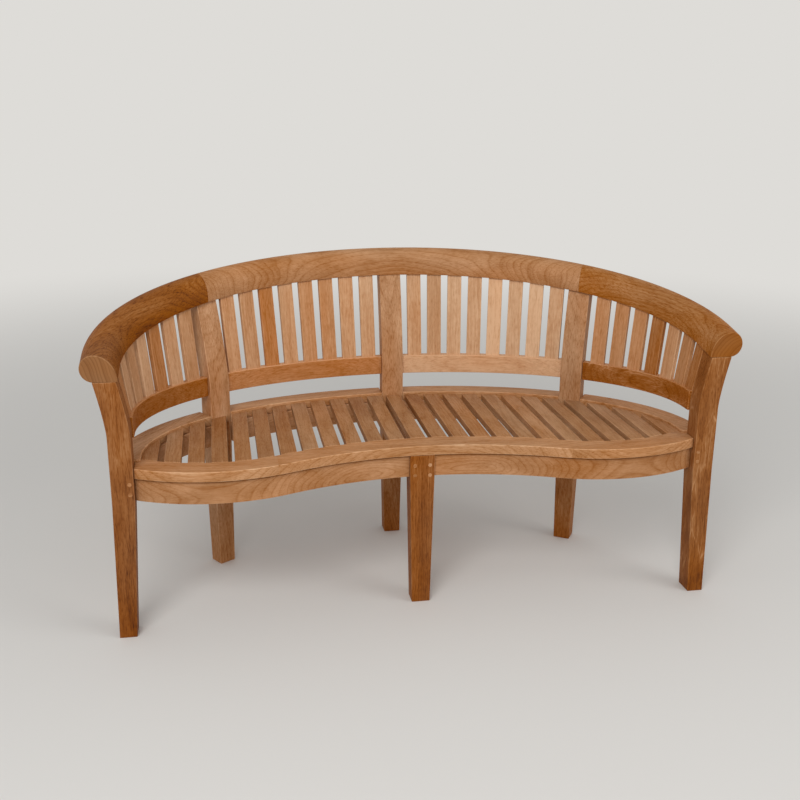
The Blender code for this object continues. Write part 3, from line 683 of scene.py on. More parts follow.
def build_top_rail(add, given):
    """Top rail: a closed tube of rings, each the rail's section set at its own angles of the ellipse."""
    tube = add("GeometryNodeMeshCylinder", {"Vertices": given["Points"], "Side Segments": RAIL_STEPS,
                                            "Radius": 1, "Depth": 1}, fill_type="NGON")
    position = add(POSITION)
    number = add(MATH, (add(INDEX), given["Points"]), operation="FLOORED_MODULO")
    section = add(OBJECT, {"Object": given["Section"]}).outputs["Geometry"]
    picked = add(SAMPLE, {"Geometry": section, "Value": position, "Index": number}, data_type="FLOAT_VECTOR")
    first, last = [add(SAMPLE, {"Geometry": section, "Value": add(READ, {"Name": name}), "Index": number})
                   for name in ("first_angle", "last_angle")]
    out, up, _ = add(SPLIT, (picked,)).outputs
    share = add(MATH, (add(SPLIT, (position,)).outputs["Z"], 0.5), operation="ADD")
    along = add(MATH, (share, given["Arc share"]), operation="DIVIDE")
    angle = add(RANGE, {"Value": along, "To Min": first, "To Max": last})
    half = add(MATH, (given["Half width"], out), operation="ADD")
    depth = add(MATH, (given["Depth"], out), operation="ADD")
    across = add(MATH, (half, add(MATH, (angle,), operation="SINE")), operation="MULTIPLY")
    cosine = add(MATH, (angle,), operation="COSINE")
    arc_back = add(MATH, (depth, cosine, given["Centre Y"]), operation="MULTIPLY_ADD")
    past_arc = add(RANGE, {"Value": share, "From Min": given["Arc share"], "From Max": 1.0})
    end_back = add(MATH, (up, add(MATH, (given["Tilt"],), operation="TANGENT")), operation="MULTIPLY")
    back = add("ShaderNodeMix", {0: past_arc, 2: arc_back, 3: end_back})
    tilted = add("ShaderNodeVectorRotate", {"Vector": add(JOIN, (across, back, up)), "Angle": given["Tilt"]},
                 rotation_type="X_AXIS")
    raised = add(VECTOR_MATH, (tilted, add(JOIN, {2: given["Height"]})), operation="ADD")
    return add("GeometryNodeSetPosition", {"Geometry": tube, "Position": raised})


def place_copies(add, points, blank, **turn_and_scale):
    """Puts a real copy of a blank on each point; gives them, and each point's own place on its blank."""
    numbered = add(STORE, {"Geometry": points, "Name": "copy_number", "Value": add(INDEX)}, data_type="INT")
    read = add(OBJECT, {"Object": blank}).outputs["Geometry"]
    marked = add(STORE, {"Geometry": read, "Name": "blank_place", "Value": add(POSITION)},
                 data_type="FLOAT_VECTOR")
    copies = add("GeometryNodeInstanceOnPoints", {"Points": numbered, "Instance": marked, **turn_and_scale})
    own = add(READ, {"Name": "blank_place"}, data_type="FLOAT_VECTOR")
    return add("GeometryNodeRealizeInstances", (copies,)), add(SPLIT, (own,)).outputs


def grained_copies(add, given, copies, place):
    """Notes where each copy lay in its own plank, from its points' places along, through and across."""
    number = add(READ, {"Name": "copy_number"}, data_type="INT")
    shift = add("FunctionNodeRandomValue", {0: COPY_PITH_LOW, 1: COPY_PITH_HIGH, "ID": number,
                                            "Seed": given["Seed"]}, data_type="FLOAT_VECTOR")
    grain = add(VECTOR_MATH, (add(JOIN, place), shift), operation="ADD")
    return add(STORE, {"Geometry": copies, "Name": "grain", "Value": grain}, data_type="FLOAT_VECTOR")


def build_back_slats(add, given):
    """Back slats: each stands between a line of feet and a line of heads, evenly spaced along both."""
    feet, heads = [add("GeometryNodeSampleCurve", {
        "Curves": add(OBJECT, {"Object": given[line]}).outputs["Geometry"],
        "Length": add(MATH, (add(INDEX), given[pitch], given[first]), operation="MULTIPLY_ADD")},
        mode="LENGTH").outputs for line, first, pitch in (("Feet", "First foot", "Foot pitch"),
                                                          ("Heads", "First head", "Head pitch"))]
    axis = add(VECTOR_MATH, (heads["Position"], feet["Position"]), operation="SUBTRACT")
    sideways = add(VECTOR_MATH, (heads["Tangent"], feet["Tangent"]), operation="ADD")
    rise = add(VECTOR_MATH, (axis,), operation="LENGTH").outputs["Value"]
    tenons = add(MATH, (given["Tenon"], given["Head tenon"]), operation="ADD")
    long = add(MATH, (rise, tenons), operation="ADD")
    half_long = add(MATH, (long, 0.5), operation="MULTIPLY")
    reach = add(MATH, (half_long, given["Tenon"]), operation="SUBTRACT")
    unit = add(VECTOR_MATH, (axis,), operation="NORMALIZE")
    middle = add(VECTOR_MATH, (unit, reach, feet["Position"]), operation="MULTIPLY_ADD")
    points = add("GeometryNodePoints", {"Count": given["Count"], "Position": middle})
    sized = add(STORE, {"Geometry": points, "Name": "slat_length", "Value": long})
    turn = add("FunctionNodeAxesToRotation", {"Primary Axis": axis, "Secondary Axis": sideways},
               primary_axis="Z", secondary_axis="X")
    slats, (x, y, z) = place_copies(add, sized, given["Blank"], Rotation=turn,
                                    Scale=add(JOIN, (1.0, 1.0, long)))
    along = add(MATH, (z, add(READ, {"Name": "slat_length"})), operation="MULTIPLY")
    return grained_copies(add, given, slats, (along, y, x))


def build_seat_slats(add, given):
    """Seat slats: evenly spaced blanks whose ends run to the walls of the seat's opening."""
    start = add(JOIN, (given["First X"], 0.0, given["Middle height"]))
    line = add("GeometryNodeMeshLine", {"Count": given["Count"], "Start Location": start,
                                        "Offset": add(JOIN, (given["Pitch"],))})
    slats, (own_x, own_y, own_z) = place_copies(add, line, given["Blank"])
    spot_x, spot_y, spot_z = add(SPLIT, (add(POSITION),)).outputs
    below = add(MATH, (given["Half opening"], -1.0), operation="MULTIPLY")
    x = add("ShaderNodeClamp", (spot_x, below, given["Half opening"]))
    side = add(MATH, (own_y,), operation="SIGN")
    towards = add(MATH, (side, -1.0), operation="MULTIPLY")
    wall = add("GeometryNodeRaycast", {
        "Target Geometry": add(OBJECT, {"Object": given["Opening"]}).outputs["Geometry"],
        "Source Position": add(JOIN, (x, side, given["Middle height"])),
        "Ray Direction": add(JOIN, {1: towards})})
    wall_y = add(SPLIT, (wall.outputs["Hit Position"],)).outputs["Y"]
    inset = add(MATH, (0.5, add(MATH, (own_y,), operation="ABSOLUTE")), operation="SUBTRACT")
    y = add(MATH, (inset, towards, wall_y), operation="MULTIPLY_ADD")
    trimmed = add("GeometryNodeSetPosition", {"Geometry": slats, "Position": add(JOIN, (x, y, spot_z))})
    return grained_copies(add, given, trimmed, (spot_y, own_z, own_x))


def build_plugs(add, given):
    """Round plugs: one blank on each point."""
    places = add(OBJECT, {"Object": given["Places"]}).outputs["Geometry"]
    plugs, place = place_copies(add, add("GeometryNodeMeshToPoints", {"Mesh": places}), given["Blank"])
    return grained_copies(add, given, plugs, place)


def make_top_rails(tones):
    """Top rail in three lengths over the side posts; low and end wood have tones of their own, and painted
    shade darkens the arms towards their fronts.
    """
    centre_ends, arm_ends = [[joint_angle(out, up, play) for out, up in rail_section()]
                             for play in (-CLEARANCE / 2, CLEARANCE / 2)]
    arc_share = 1 - RAIL_TAIL_STEPS / RAIL_STEPS
    lengths = (([(-angle, -pi / 2) for angle in arm_ends], arc_share, "teak_arms"),
               ([(-angle, angle) for angle in centre_ends], 1.0, "teak_top_rail"),
               ([(angle, pi / 2) for angle in arm_ends], arc_share, "teak_arms"))
    for name, (end_angles, share, wood), (own, low, front, end) in zip(THIRDS, lengths, tones):
        shell = bmesh.new()
        shell.from_mesh(grow("top_rail", build_top_rail, {
            "Section": section_object(end_angles), "Points": len(end_angles), "Arc share": share,
            "Half width": TOP_RAIL_HALF_WIDTH, "Depth": TOP_RAIL_DEPTH / cos(RAIL_TILT),
            "Centre Y": TOP_RAIL_CENTRE_Y / cos(RAIL_TILT), "Height": TOP_RAIL_ARM_Z, "Tilt": RAIL_TILT,
            "Teak": teak[wood]}))
        bmesh.ops.recalc_face_normals(shell, faces=shell.faces)
        # The front pair of each length is painted shade, darker towards an arm's front.
        places = ((low, low_on_rail), (front, near_arm_front), (end, at_arm_end))
        rail = finish_board("top_rail_" + name, shell, "teak_top_rail", (own, *places), wood=wood).data
        set_values(rail, end_grain=[at_arm_end(vert.co - FOOTPRINT_SHIFT) for vert in rail.vertices])


def slat_spacing(line, count, near_post, far_post):
    """Distance along a line to the middle of its first slat, and from each slat's middle to the next."""
    length = sum((Vector(after) - Vector(before)).length for before, after in zip(line, line[1:]))
    near, far = [BACK_POST_WIDTH / 2 if post else CLEARANCE for post in (near_post, far_post)]
    gap = (length - near - far - count * BACK_SLAT_WIDTH) / (count - 1 + near_post + far_post)
    return near + near_post * gap + BACK_SLAT_WIDTH / 2, gap + BACK_SLAT_WIDTH


def make_back_slats(panel_tones):
    """The slats of the four panels of the back."""
    blank = slat_blank((BACK_SLAT_WIDTH, BACK_SLAT_THICKNESS, 1))
    low = MID_RAIL_SETBACK + MID_RAIL_THICKNESS / 2
    high = BACK_SLAT_TOP_SETBACK + BACK_SLAT_THICKNESS / 2
    for number, ((name, first, last), tones) in enumerate(zip(BACK_STRETCHES, panel_tones)):
        posts = (first is not None, last is not None)
        low_angles, high_angles = [spread(first if posts[0] else -end, last if posts[1] else end, LINE_STEPS)
                                   for end in (lip_end_angle(low), rail_end_angle(high))]
        feet = [(*lip_point(angle, low), MID_RAIL_TOP_Z) for angle in low_angles]
        spots = [rail_point(angle, high) for angle in high_angles]
        heads = [(*spot, rail_underside_z(spot.y)) for spot in spots]
        first_foot, foot_pitch = slat_spacing(feet, len(tones), *posts)
        first_head, head_pitch = slat_spacing(heads, len(tones), *posts)
        mesh = grow("back_slats", build_back_slats, {
            "Feet": line_object("feet", feet), "First foot": first_foot, "Foot pitch": foot_pitch,
            "Heads": line_object("heads", heads), "First head": first_head, "Head pitch": head_pitch,
            "Tenon": BACK_SLAT_TENON, "Head tenon": BACK_SLAT_HEAD_TENON, "Blank": blank,
            "Count": len(tones), "Seed": number, "Teak": teak["teak_back"]})
        tone_copies(mesh, tones)
        finish_piece("back_slats_" + name, mesh, "teak_back", ["back_panel_" + name])


def make_seat_slats(tones):
    """The seat slats, all running from front to back."""
    near = FRONT_RIM_WIDTH + CLEARANCE
    walls = bmesh.new()
    for line in ([(x, front_y(x, near)) for x in spread(-LIP_HALF_WIDTH, LIP_HALF_WIDTH, 2 * LINE_STEPS)],
                 [lip_point(angle, -CLEARANCE) for angle in spread(-pi / 2, pi / 2, 2 * LINE_STEPS)]):
        rows = [[walls.verts.new((*place, z)) for z in (SLAT_BOTTOM_Z - SEAT_SLAT_THICKNESS,
                                                       SEAT_HEIGHT + SEAT_SLAT_THICKNESS)] for place in line]
        for row, following in zip(rows, rows[1:]):
            walls.faces.new((row[0], row[1], following[1], following[0]))
    mesh = grow("seat_slats", build_seat_slats, {
        "Blank": slat_blank((SEAT_SLAT_WIDTH, 1, SEAT_SLAT_THICKNESS), SLAT_END_CUTS),
        "Opening": helper_mesh("seat_opening", walls), "Half opening": LIP_HALF_WIDTH - 2 * CLEARANCE,
        "First X": SEAT_SLAT_INSET - LIP_HALF_WIDTH, "Pitch": SEAT_SLAT_PITCH, "Count": SEAT_SLATS,
        "Middle height": (SLAT_BOTTOM_Z + SEAT_HEIGHT) / 2, "Seed": SEAT_SEED,
        "Teak": teak["teak_seat_slats"]})
    tone_copies(mesh, tones)
    nodes = [f"seat_slat_{number + 1:02d}" for number in range(SEAT_SLATS)]
    finish_piece("seat_slats", mesh, "teak_seat_slats", nodes)


def make_plugs(tones):
    """Round plugs that cover the screws on the front leg and the arm posts."""
    places = bmesh.new()
    for half, y, heights in ((LEG_PLUG_HALF_SPACING, FRONT_LEG_Y, LEG_PLUG_HEIGHTS),
                             (ARM_POST_INNER_X + ARM_PLUG_INSET, 0, ARM_PLUG_HEIGHTS)):
        for x, z in product((-half, half), heights):
            places.verts.new((x, y, z))
    plug = bmesh.new()
    stand = Matrix.Translation((0, PLUG_DEPTH / 2 - PLUG_PROUD, 0)) @ Matrix.Rotation(pi / 2, 4, "X")
    bmesh.ops.create_cone(plug, cap_ends=True, segments=PLUG_SIDES, radius1=PLUG_RADIUS, radius2=PLUG_RADIUS,
                          depth=PLUG_DEPTH, matrix=stand)
    ease_arrises(plug, PLUG_EDGE)
    mesh = grow("round_plugs", build_plugs, {
        "Places": helper_mesh("plug_places", places), "Blank": helper_mesh("plug", plug), "Seed": PLUG_SEED,
        "Teak": teak["teak_posts"]})
    tone_copies(mesh, tones)
    finish_piece("round_plugs", mesh, "teak_posts", [])


def linear(code):
    """Linear colour of an sRGB hex value."""
    shares = [int(code[place:place + 2], 16) / 255 for place in (1, 3, 5)]
    return *(share / 12.92 if share <= 0.04045 else ((share + 0.055) / 1.055) ** 2.4 for share in shares), 1


# Teak, sawn and sanded, then oiled. Sizes are those of the timber itself.
RING_WIDTH = 0.0068
RING_BAND_WIDTH = 0.017
RING_CROWDING = 1.1
RING_WANDER = 0.034
WANDER_LENGTH = 0.34
WANDER_ACROSS = 0.10
STREAK_LENGTH = 0.110
STREAK_WIDTH = 0.0028
PORE_LENGTH = 0.019
PORE_WIDTH = 0.0018
FLECK_LENGTH = 0.013
FLECK_WIDTH = 0.009
PATCH_LENGTH = 0.12
PATCH_WIDTH = 0.045
PORE_DEPTH = 0.00025
MARK_LENGTH = 0.100
MARK_WIDTH = 0.015

# How much each feature of the grain moves the wood between its darkest, 0, and its palest, 1.
RING_WEIGHT = 0.15
BAND_WEIGHT = 0.26
STREAK_WEIGHT = 0.28
PORE_WEIGHT = -0.12
FLECK_WEIGHT = 0.14
PATCH_WEIGHT = 0.34
ARRIS_WEIGHT = 0.40
MARK_WEIGHT = 0.22
HUE_STEP = -0.005
PURITY_STEP = 0.10
HUE_DRIFT = 2.2
TEAK_COLOURS = (("#4a2006", 0.0), ("#7e4617", 0.25), ("#935a2a", 0.4), ("#a67246", 0.55),
                ("#bf8d64", 0.75), ("#dcb28c", 1.0))

# A year's ring from its dark late wood outwards, and the shares of noise where pores and marks begin and end.
RING_END_SHARE = 0.5
RING_SHARES = ((0.07, 0.0), (0.16, 0.5), (0.35, 0.72), (0.8, 0.8))
PORE_SHARES = (0.50, 0.68)
MARKED_SHARES = (0.42, 0.60)
MARK_LINE_SHARE = 0.07
MARK_BEND_SHARE = 0.25
PORE_MATTNESS = 0.12
RELIEF_STRENGTH = 0.6
WANDER_ROUGHNESS = 0.4
BAND_ROUGHNESS = 0.6
GRAIN_ROUGHNESS = 0.58
OIL_SPECULAR = 0.18
BEARER_PITH = (0.4, 0.05, 0.03)


def oiled_teak(name, wood, figure=1.0, streaks=1.0, patches=1.0, pores=1.0, purity=1.0, roughness=0.56,
               streak_length=STREAK_LENGTH, marked=False, end_grain=False, own_planks=True):
    """Oiled teak: golden brown heartwood with rings, pores and streaks along it, and paler sanded arrises."""
    material = bpy.data.materials.new(name)
    material.use_nodes = True
    tree = material.node_tree
    add = partial(add_node, tree)
    if own_planks:
        grain = add("ShaderNodeAttribute", attribute_name="grain").outputs["Vector"]
    else:
        grain = add("ShaderNodeMapping", {"Vector": add("ShaderNodeTexCoord").outputs["Object"],
                                          "Location": BEARER_PITH, "Rotation": (0, 0, pi / 2)})
    arris, tone, redness = [add("ShaderNodeAttribute", attribute_name=field).outputs["Fac"]
                            for field in ("arris", "tone", "redness")]

    # Rings round the pith, bent by the way the tree grew.
    wide = add(VECTOR_MATH, (grain, (1 / WANDER_LENGTH, 1 / WANDER_ACROSS, 1 / WANDER_ACROSS)),
               operation="MULTIPLY")
    wander = add("ShaderNodeTexNoise", {"Vector": wide, "Scale": 1.0, "Detail": 2.0,
                                        "Roughness": WANDER_ROUGHNESS}).outputs["Color"]
    centred = add(VECTOR_MATH, (wander, (0.5, 0.5, 0.5)), operation="SUBTRACT")
    swayed = add(VECTOR_MATH, (centred, (0.0, RING_WANDER, RING_WANDER), grain), operation="MULTIPLY_ADD")
    across = add(VECTOR_MATH, (swayed, (0.0, 1.0, 1.0)), operation="MULTIPLY")
    radius = add(VECTOR_MATH, (across,), operation="LENGTH").outputs["Value"]
    band = add("ShaderNodeTexNoise", {"W": radius, "Scale": 1 / RING_BAND_WIDTH, "Detail": 2.0,
                                      "Roughness": BAND_ROUGHNESS}, noise_dimensions="1D")
    even = add(MATH, (radius, 1 / RING_WIDTH), operation="MULTIPLY")
    years = add(MATH, (band, RING_CROWDING, even), operation="MULTIPLY_ADD")
    ring = add("ShaderNodeFloatCurve", {"Value": add(MATH, (years,), operation="FRACT")})
    line = ring.mapping.curves[0]
    for point, place in zip(line.points, (0.0, 1.0)):
        point.location = (place, RING_END_SHARE)
    for place in RING_SHARES:
        line.points.new(*place)
    ring.mapping.update()

    # Streaks and pores along the grain, flecks across it, and patches that took the oil unevenly.
    layers = [(ring, RING_WEIGHT * figure), (band, BAND_WEIGHT * figure)]
    for source, length, width, detail, weight in (
            (swayed, streak_length, STREAK_WIDTH, 3.0, STREAK_WEIGHT * streaks),
            (grain, PORE_LENGTH, PORE_WIDTH, 1.0, PORE_WEIGHT * pores),
            (grain, FLECK_LENGTH, FLECK_WIDTH, 2.0, FLECK_WEIGHT),
            (grain, PATCH_LENGTH, PATCH_WIDTH, 1.5, PATCH_WEIGHT * patches)):
        scaled = add(VECTOR_MATH, (source, (1 / length, 1 / width, 1 / width)), operation="MULTIPLY")
        noise = add("ShaderNodeTexNoise", {"Vector": scaled, "Scale": 1.0, "Detail": detail,
                                           "Roughness": GRAIN_ROUGHNESS})
        if width == PORE_WIDTH:
            noise = add(RANGE, {"Value": noise, "From Min": PORE_SHARES[0], "From Max": PORE_SHARES[1]},
                        interpolation_type="SMOOTHSTEP")
        if end_grain:
            at_end = add("ShaderNodeAttribute", attribute_name="end_grain")
            noise = add("ShaderNodeMix", {0: at_end.outputs["Fac"], 2: noise, 3: 0.5})
        layers.append((noise, weight))
    level = wood - sum(weight for _, weight in layers) / 2
    streak, pore, _, patch = [noise for noise, _ in layers[2:]]
    layers += [(add(MATH, (arris, streak), operation="MULTIPLY"), ARRIS_WEIGHT), (tone, 1.0)]
    if marked:
        scaled = add(VECTOR_MATH, (swayed, (1 / MARK_LENGTH, 1 / MARK_WIDTH, 1 / MARK_WIDTH)),
                     operation="MULTIPLY")
        bent = add("ShaderNodeMixRGB", (MARK_BEND_SHARE, scaled, wander), blend_type="ADD")
        cells = add("ShaderNodeTexVoronoi", {"Vector": bent, "Scale": 1.0}, feature="DISTANCE_TO_EDGE")
        thin = add(RANGE, {"Value": cells, "From Max": MARK_LINE_SHARE, "To Min": 1.0, "To Max": 0.0})
        here = add(RANGE, {"Value": patch, "From Min": MARKED_SHARES[0], "From Max": MARKED_SHARES[1]})
        layers.append((add(MATH, (thin, here), operation="MULTIPLY"), MARK_WEIGHT))
    for source, weight in layers:
        level = add(MATH, (source, weight, level), operation="MULTIPLY_ADD")
    colour = add("ShaderNodeValToRGB", (level,))
    stops = colour.color_ramp.elements
    for stop, (code, _) in zip(stops, (TEAK_COLOURS[0], TEAK_COLOURS[-1])):
        stop.color = linear(code)
    for code, place in TEAK_COLOURS[1:-1]:
        stops.new(place).color = linear(code)

    # Redder and yellower wood, board by board and along each board.
    red = add(MATH, (add(SPLIT, (centred,)), HUE_DRIFT, redness), operation="MULTIPLY_ADD")
    toned = add("ShaderNodeHueSaturation", {
        "Hue": add(MATH, (red, HUE_STEP, 0.5), operation="MULTIPLY_ADD"),
        "Saturation": add(MATH, (red, PURITY_STEP, purity), operation="MULTIPLY_ADD"), "Color": colour})
    relief = add(MATH, (streak, pore), operation="SUBTRACT")
    set_inputs(tree, tree.nodes["Principled BSDF"], {
        "Base Color": toned, "Specular IOR Level": OIL_SPECULAR,
        "Roughness": add(MATH, (pore, PORE_MATTNESS, roughness), operation="MULTIPLY_ADD"),
        "Normal": add("ShaderNodeBump", {"Strength": RELIEF_STRENGTH, "Distance": PORE_DEPTH,
                                         "Height": relief})})
    return material


# Each group of boards, with its own wood: 0 is the darkest teak and 1 the palest.
TEAK_FINISHES = {
    # Posts and legs: warm brown, the darkest and most streaked of the timbers.
    "teak_posts": dict(wood=0.36, figure=0.7, streaks=1.1, patches=1.2, pores=1.2),
    # Right arm post and right middle rail: the same wood, with pale wavy drying marks.
    "teak_marked": dict(wood=0.36, figure=0.8, patches=1.3, pores=1.2, purity=1.02, marked=True),
    # Middle length of the top rail: a thick sawn curve with arched rings on its rolled face.
    "teak_top_rail": dict(wood=0.56, figure=0.9, streaks=0.7, purity=1.015),
    # Arms, the top rail's side lengths: darker wood, with open pores that drank more oil.
    "teak_arms": dict(wood=0.40, figure=0.9, patches=0.9, pores=1.4, purity=1.06, streak_length=0.05,
                      end_grain=True),
    # Middle rails and back slats: narrow, quarter-sawn, pale and even.
    "teak_back": dict(wood=0.74, figure=0.5, streaks=1.4, patches=0.5, pores=0.9, purity=1.015,
                      streak_length=0.24),
    # Rims: sanded smooth where hands and legs touch.
    "teak_rims": dict(wood=0.57, figure=0.9, streaks=0.9, purity=1.03),
    # Aprons: flat-sawn boards with long swirling rings.
    "teak_aprons": dict(wood=0.56, figure=0.9, streaks=0.8, patches=1.2, pores=0.5),
    # Seat slats: slightly dulled and mottled by use.
    "teak_seat_slats": dict(wood=0.49, figure=0.6, streaks=0.9, pores=0.6, purity=1.03, roughness=0.6),
    # Bearers: the same timber, out of sight and left as it was sawn.
    "teak_bearers": dict(wood=0.36, roughness=0.66, own_planks=False),
}
teak = {name: oiled_teak(name, **finish) for name, finish in TEAK_FINISHES.items()}

# Where a board's colour changes: painted shade in a strip along the front aprons' top, up under the front
# rim;
# and the arms' low wood, painted shade towards their fronts, and their end wood.
APRON_SHADE_HEIGHT = 0.0045
LOW_WOOD_HEIGHT = 0.040
ARM_FRONT_SHADE_LENGTH = 0.30
END_GRAIN_DEPTH = 0.008

# How boards lay in their planks: the way the grain runs, the way the broad face looks, and the place of the
# pith. Slats and plugs take a place between two limits at random.
PLANK_LENGTH = 4
BACK_POST_LEAN = 0.12
BACK_POST_PITHS = ((0.07, 0.03), (0.035, 0.012), (0.06, -0.02))
COPY_PITH_LOW = (0.0, 0.02, -0.08)
COPY_PITH_HIGH = (PLANK_LENGTH, 0.12, 0.08)
SEAT_SEED = 3
PLUG_SEED = 5
PLANKS = {
    "arm_post_left": ((0, 0, 1), (-0.25, -1, 0), (0.055, 0.03)),
    "arm_post_right": ((0, 0, 1), (0.25, -1, 0), (0.055, 0.03)),
    "front_leg": ((0.01, 0, 1), (1, -0.2, 0), (0.09, 0.02)),
    "front_rim_left": ((1, -0.12, 0), (0, -0.5, 1), (0.07, 0.03)),
    "front_rim_centre": ((1, 0, 0), (0, -0.5, 1), (0.07, 0.03)),
    "front_rim_right": ((1, 0.10, 0), (0, -0.5, 1), (0.07, 0.03)),
    "front_apron_left": ((1, -0.05, 0.02), (0, -1, 0.35), (0.045, -0.01)),
    "front_apron_right": ((1, 0.05, 0.02), (0, -1, 0.35), (0.045, 0.01)),
    "top_rail_left": ((0.62, 1, 0.16), (0, -0.55, 1), (0.06, 0.02)),
    "top_rail_centre": ((1, 0, 0), (0, -0.55, 1), (0.06, 0.02)),
    "top_rail_right": ((-0.62, 1, 0.16), (0, -0.55, 1), (0.06, 0.02)),
}

# Tone and redness of each board: 0 is its group's own colour. A post has a second pair, painted shade that
# darkens it towards its foot, and a length of the top rail has three more: for its low wood, for painted
# shade towards an arm's front, and for its end wood.
PLAIN = (0.0, 0.0)
ARM_POST_TONES = (((-0.04, -0.3), (-0.18, 0.5)), ((-0.05, -0.1), (-0.08, 0.1)))
BACK_POST_TONES = (((0.26, -0.1), (-0.11, 0.2)), ((0.24, -0.1), (-0.33, 0.6)), ((0.24, -0.1), (-0.26, 0.6)))
FRONT_LEG_TONE = (-0.12, 0.2)
TOP_RAIL_TONES = (((-0.12, -0.1), (-0.06, 0.4), (-0.08, -0.2), (0.05, -1.1)), (PLAIN, PLAIN, PLAIN, PLAIN),
                  ((0.04, 0.0), (0.0, 0.2), (-0.02, 0.0), (-0.10, -0.4)))
MID_RAIL_TONES = ((-0.30, 0.9), (-0.09, 1.2), (0.15, 0.3), (0.05, 0.9))
MID_RAIL_TOP_TONE = (0.25, 0.0)
FRONT_RIM_TONES = ((0.06, 0.0), (0.04, 0.0), (0.03, 0.0))
REAR_RIM_TONES = (PLAIN, (0.03, 0.0), (0.03, 0.0), PLAIN)
FRONT_APRON_TONES = (PLAIN, (-0.02, 0.2))
# Painted shade: a darker strip along the front aprons' top, up under the rim.
APRON_SHADE_TONE = (-0.6, 0.0)
REAR_APRON_TONES = ((0.1, 0.3), (0.14, 0.3), (0.14, 0.3), (0.1, 0.3))
BACK_SLAT_TONES = (
    ((-0.15, 0.2), (-0.02, -0.2), (-0.04, -0.4), (0.08, -0.3), (-0.14, 0.3), (0.02, 0.0), (-0.06, 0.0)),
    ((0.0, 0.2), (-0.03, -0.3), (-0.13, 0.9), (0.02, 0.2), (-0.03, 0.5), (-0.06, 0.3), (0.02, 0.0),
     (0.04, -0.1)),
    ((0.03, -0.2), (-0.04, -0.5), (0.08, -0.2), (0.04, 0.0), (0.18, 0.0), (0.08, -0.5), (0.17, -0.4),
     (0.04, -0.3)),
    ((-0.04, 0.2), (-0.06, 0.2), (-0.04, 0.6), (-0.27, 0.5), (0.0, 0.1), (-0.14, 0.2), (-0.26, 0.3)),
)
# Seat slats: tones at random, plus painted light, a rise that makes the seat paler towards the right.
SEAT_SLAT_TONES = [(chance.uniform(-0.06, 0.06) + rise, chance.uniform(-1.0, -0.3))
                   for rise in spread(-0.03, 0.07, SEAT_SLATS - 1)]
PLUG_TONES = [(tone, 0.0) for tone in (0.12, 0.08, 0.3, 0.3, 0.16, 0.12, 0.14, 0.1)]

# Objects that only trees read, taken away once every board is made.
helpers = []

# The bench, piece by piece; the bearers keep their solids.
for name in THIRDS:
    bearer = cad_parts["bearer_" + name].data
    bearer.materials.clear()
    bearer.materials.append(teak["teak_bearers"])
for side, tones in zip(SIDES, ARM_POST_TONES):
    make_arm_post(*side, *tones)
post_angles = (-SIDE_POST_ANGLE, 0, SIDE_POST_ANGLE)
for name, angle, pith, tones in zip(THIRDS, post_angles, BACK_POST_PITHS, BACK_POST_TONES):
    make_back_post(name, angle, pith, *tones)
make_front_leg((FRONT_LEG_TONE,))
make_front_rims(FRONT_RIM_TONES)
make_front_aprons(FRONT_APRON_TONES)
make_back_boards("rear_rim", (0, REAR_RIM_WIDTH), SLAT_BOTTOM_Z, REAR_RIM_TOP_Z, "teak_rims", 1.5,
                 (0.06, 0.02), REAR_RIM_TONES, arris=RIM_ARRIS)
make_back_boards("rear_apron", (-REAR_APRON_PROUD, APRON_THICKNESS - REAR_APRON_PROUD), REAR_APRON_BOTTOM_Z,
                 SLAT_SEAT_Z, "teak_aprons", 0.3, (0.05, 0.01), REAR_APRON_TONES)
make_back_boards("mid_rail", (MID_RAIL_SETBACK, MID_RAIL_SETBACK + MID_RAIL_THICKNESS), MID_RAIL_BOTTOM_Z,
                 MID_RAIL_TOP_Z, "teak_back", 0.3, (0.05, 0.01), MID_RAIL_TONES, ((MID_RAIL_TOP_TONE, bleached),))
make_back_slats(BACK_SLAT_TONES)
make_top_rails(TOP_RAIL_TONES)
make_seat_slats(SEAT_SLAT_TONES)
make_plugs(PLUG_TONES)
for helper in helpers:
    bpy.data.objects.remove(helper)

# Camera at the photograph's viewing angle.
CAMERA_PLACE = Vector((-0.4855, -2.2735, 1.2864))
CAMERA_YAW = radians(10.328)
CAMERA_PITCH = radians(17.044)
CAMERA_ROLL = radians(0.425)
SENSOR_WIDTH = 36
LENS = 45.34

lens = bpy.data.cameras.new("camera")
lens.sensor_width = SENSOR_WIDTH
lens.lens = LENS
camera = add_object("camera", lens)
turn = Matrix.Rotation(-CAMERA_YAW, 4, "Z") @ Matrix.Rotation(pi / 2 - CAMERA_PITCH, 4, "X")
turn = turn @ Matrix.Rotation(CAMERA_ROLL, 4, "Z")
camera.matrix_world = Matrix.Translation(CAMERA_PLACE + FOOTPRINT_SHIFT) @ turn
bpy.context.scene.camera = camera

# Plain pale floor, which fades into the same pale background far from the bench, and soft studio light.
FLOOR_SIZE = 60
FLOOR_COLOUR = "#dedcd8"
FLOOR_ROUGHNESS = 0.9
FADE_START = 1.4
FADE_END = 5.5
WORLD_STRENGTH = 0.47
LAMP_TARGET = Vector((0, 0, 0.45))
KEY = ("key", Vector((-1.6, -3.6, 3.4)), 2.6, 111)
FILL = ("fill", Vector((2.8, -2.2, 2.2)), 2.5, 30)


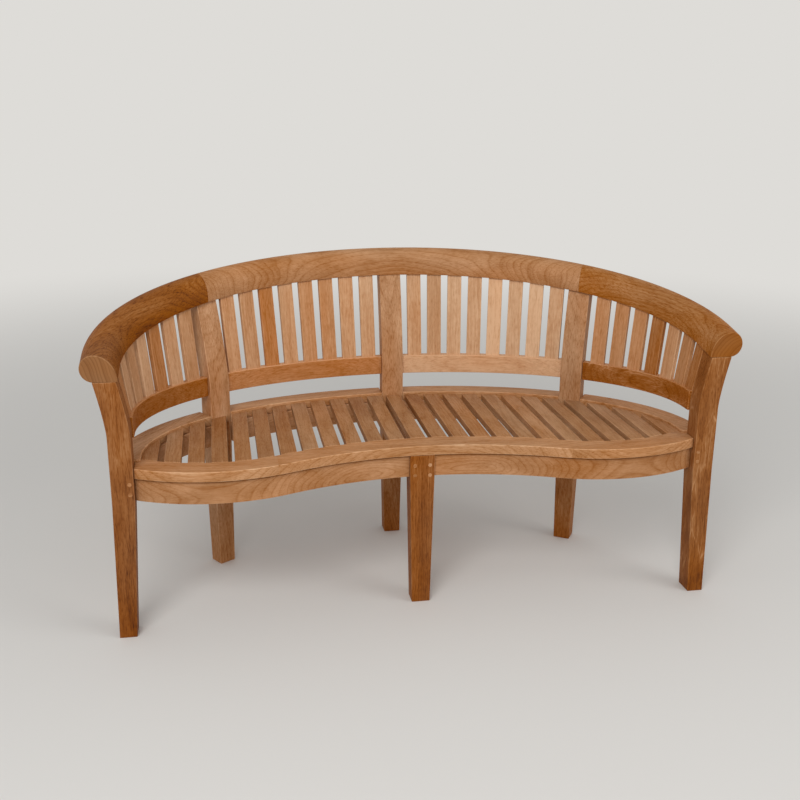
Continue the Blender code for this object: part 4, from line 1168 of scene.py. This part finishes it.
def seen_directly(add):
    """1 for what the camera sees, itself or in a gloss, and 0 for light that falls on the bench."""
    seen = add("ShaderNodeLightPath").outputs
    return add(MATH, (seen["Is Camera Ray"], seen["Is Glossy Ray"]), operation="ADD", use_clamp=True)


ground = bmesh.new()
bmesh.ops.create_grid(ground, x_segments=1, y_segments=1, size=FLOOR_SIZE / 2)
floor = add_object("floor", add_mesh("floor", ground))

paper = bpy.data.materials.new("pale_floor")
paper.use_nodes = True
tree = paper.node_tree
add = partial(add_node, tree)
matt = tree.nodes["Principled BSDF"]
set_inputs(tree, matt, {"Base Color": linear(FLOOR_COLOUR), "Roughness": FLOOR_ROUGHNESS})
spot = add("ShaderNodeTexCoord").outputs["Object"]
distance = add(VECTOR_MATH, (spot,), operation="LENGTH").outputs["Value"]
fade = add(RANGE, {"Value": distance, "From Min": FADE_START, "From Max": FADE_END},
           interpolation_type="SMOOTHSTEP")
faded = add(MATH, (fade, seen_directly(add)), operation="MULTIPLY")
glow = add("ShaderNodeEmission", {"Color": linear(FLOOR_COLOUR), "Strength": 1.0})
set_inputs(tree, tree.nodes["Material Output"], (add("ShaderNodeMixShader", (faded, matt, glow)),))
floor.data.materials.append(paper)

world = bpy.data.worlds.new("studio")
world.use_nodes = True
tree = world.node_tree
add = partial(add_node, tree)
sky = tree.nodes["Background"]
set_inputs(tree, sky, {"Color": (1, 1, 1, 1), "Strength": WORLD_STRENGTH})
backdrop = add("ShaderNodeBackground", {"Color": linear(FLOOR_COLOUR), "Strength": 1.0})
behind = add("ShaderNodeMixShader", (seen_directly(add), sky, backdrop))
set_inputs(tree, tree.nodes["World Output"], (behind,))
bpy.context.scene.world = world

for name, place, size, power in (KEY, FILL):
    lamp = bpy.data.lights.new(name, "AREA")
    lamp.shape = "DISK"
    lamp.size = size
    lamp.energy = power
    stand = add_object(name, lamp)
    stand.location = place
    stand.rotation_euler = (LAMP_TARGET - place).to_track_quat("-Z", "Y").to_euler()

bpy.context.scene.view_settings.view_transform = "Standard"
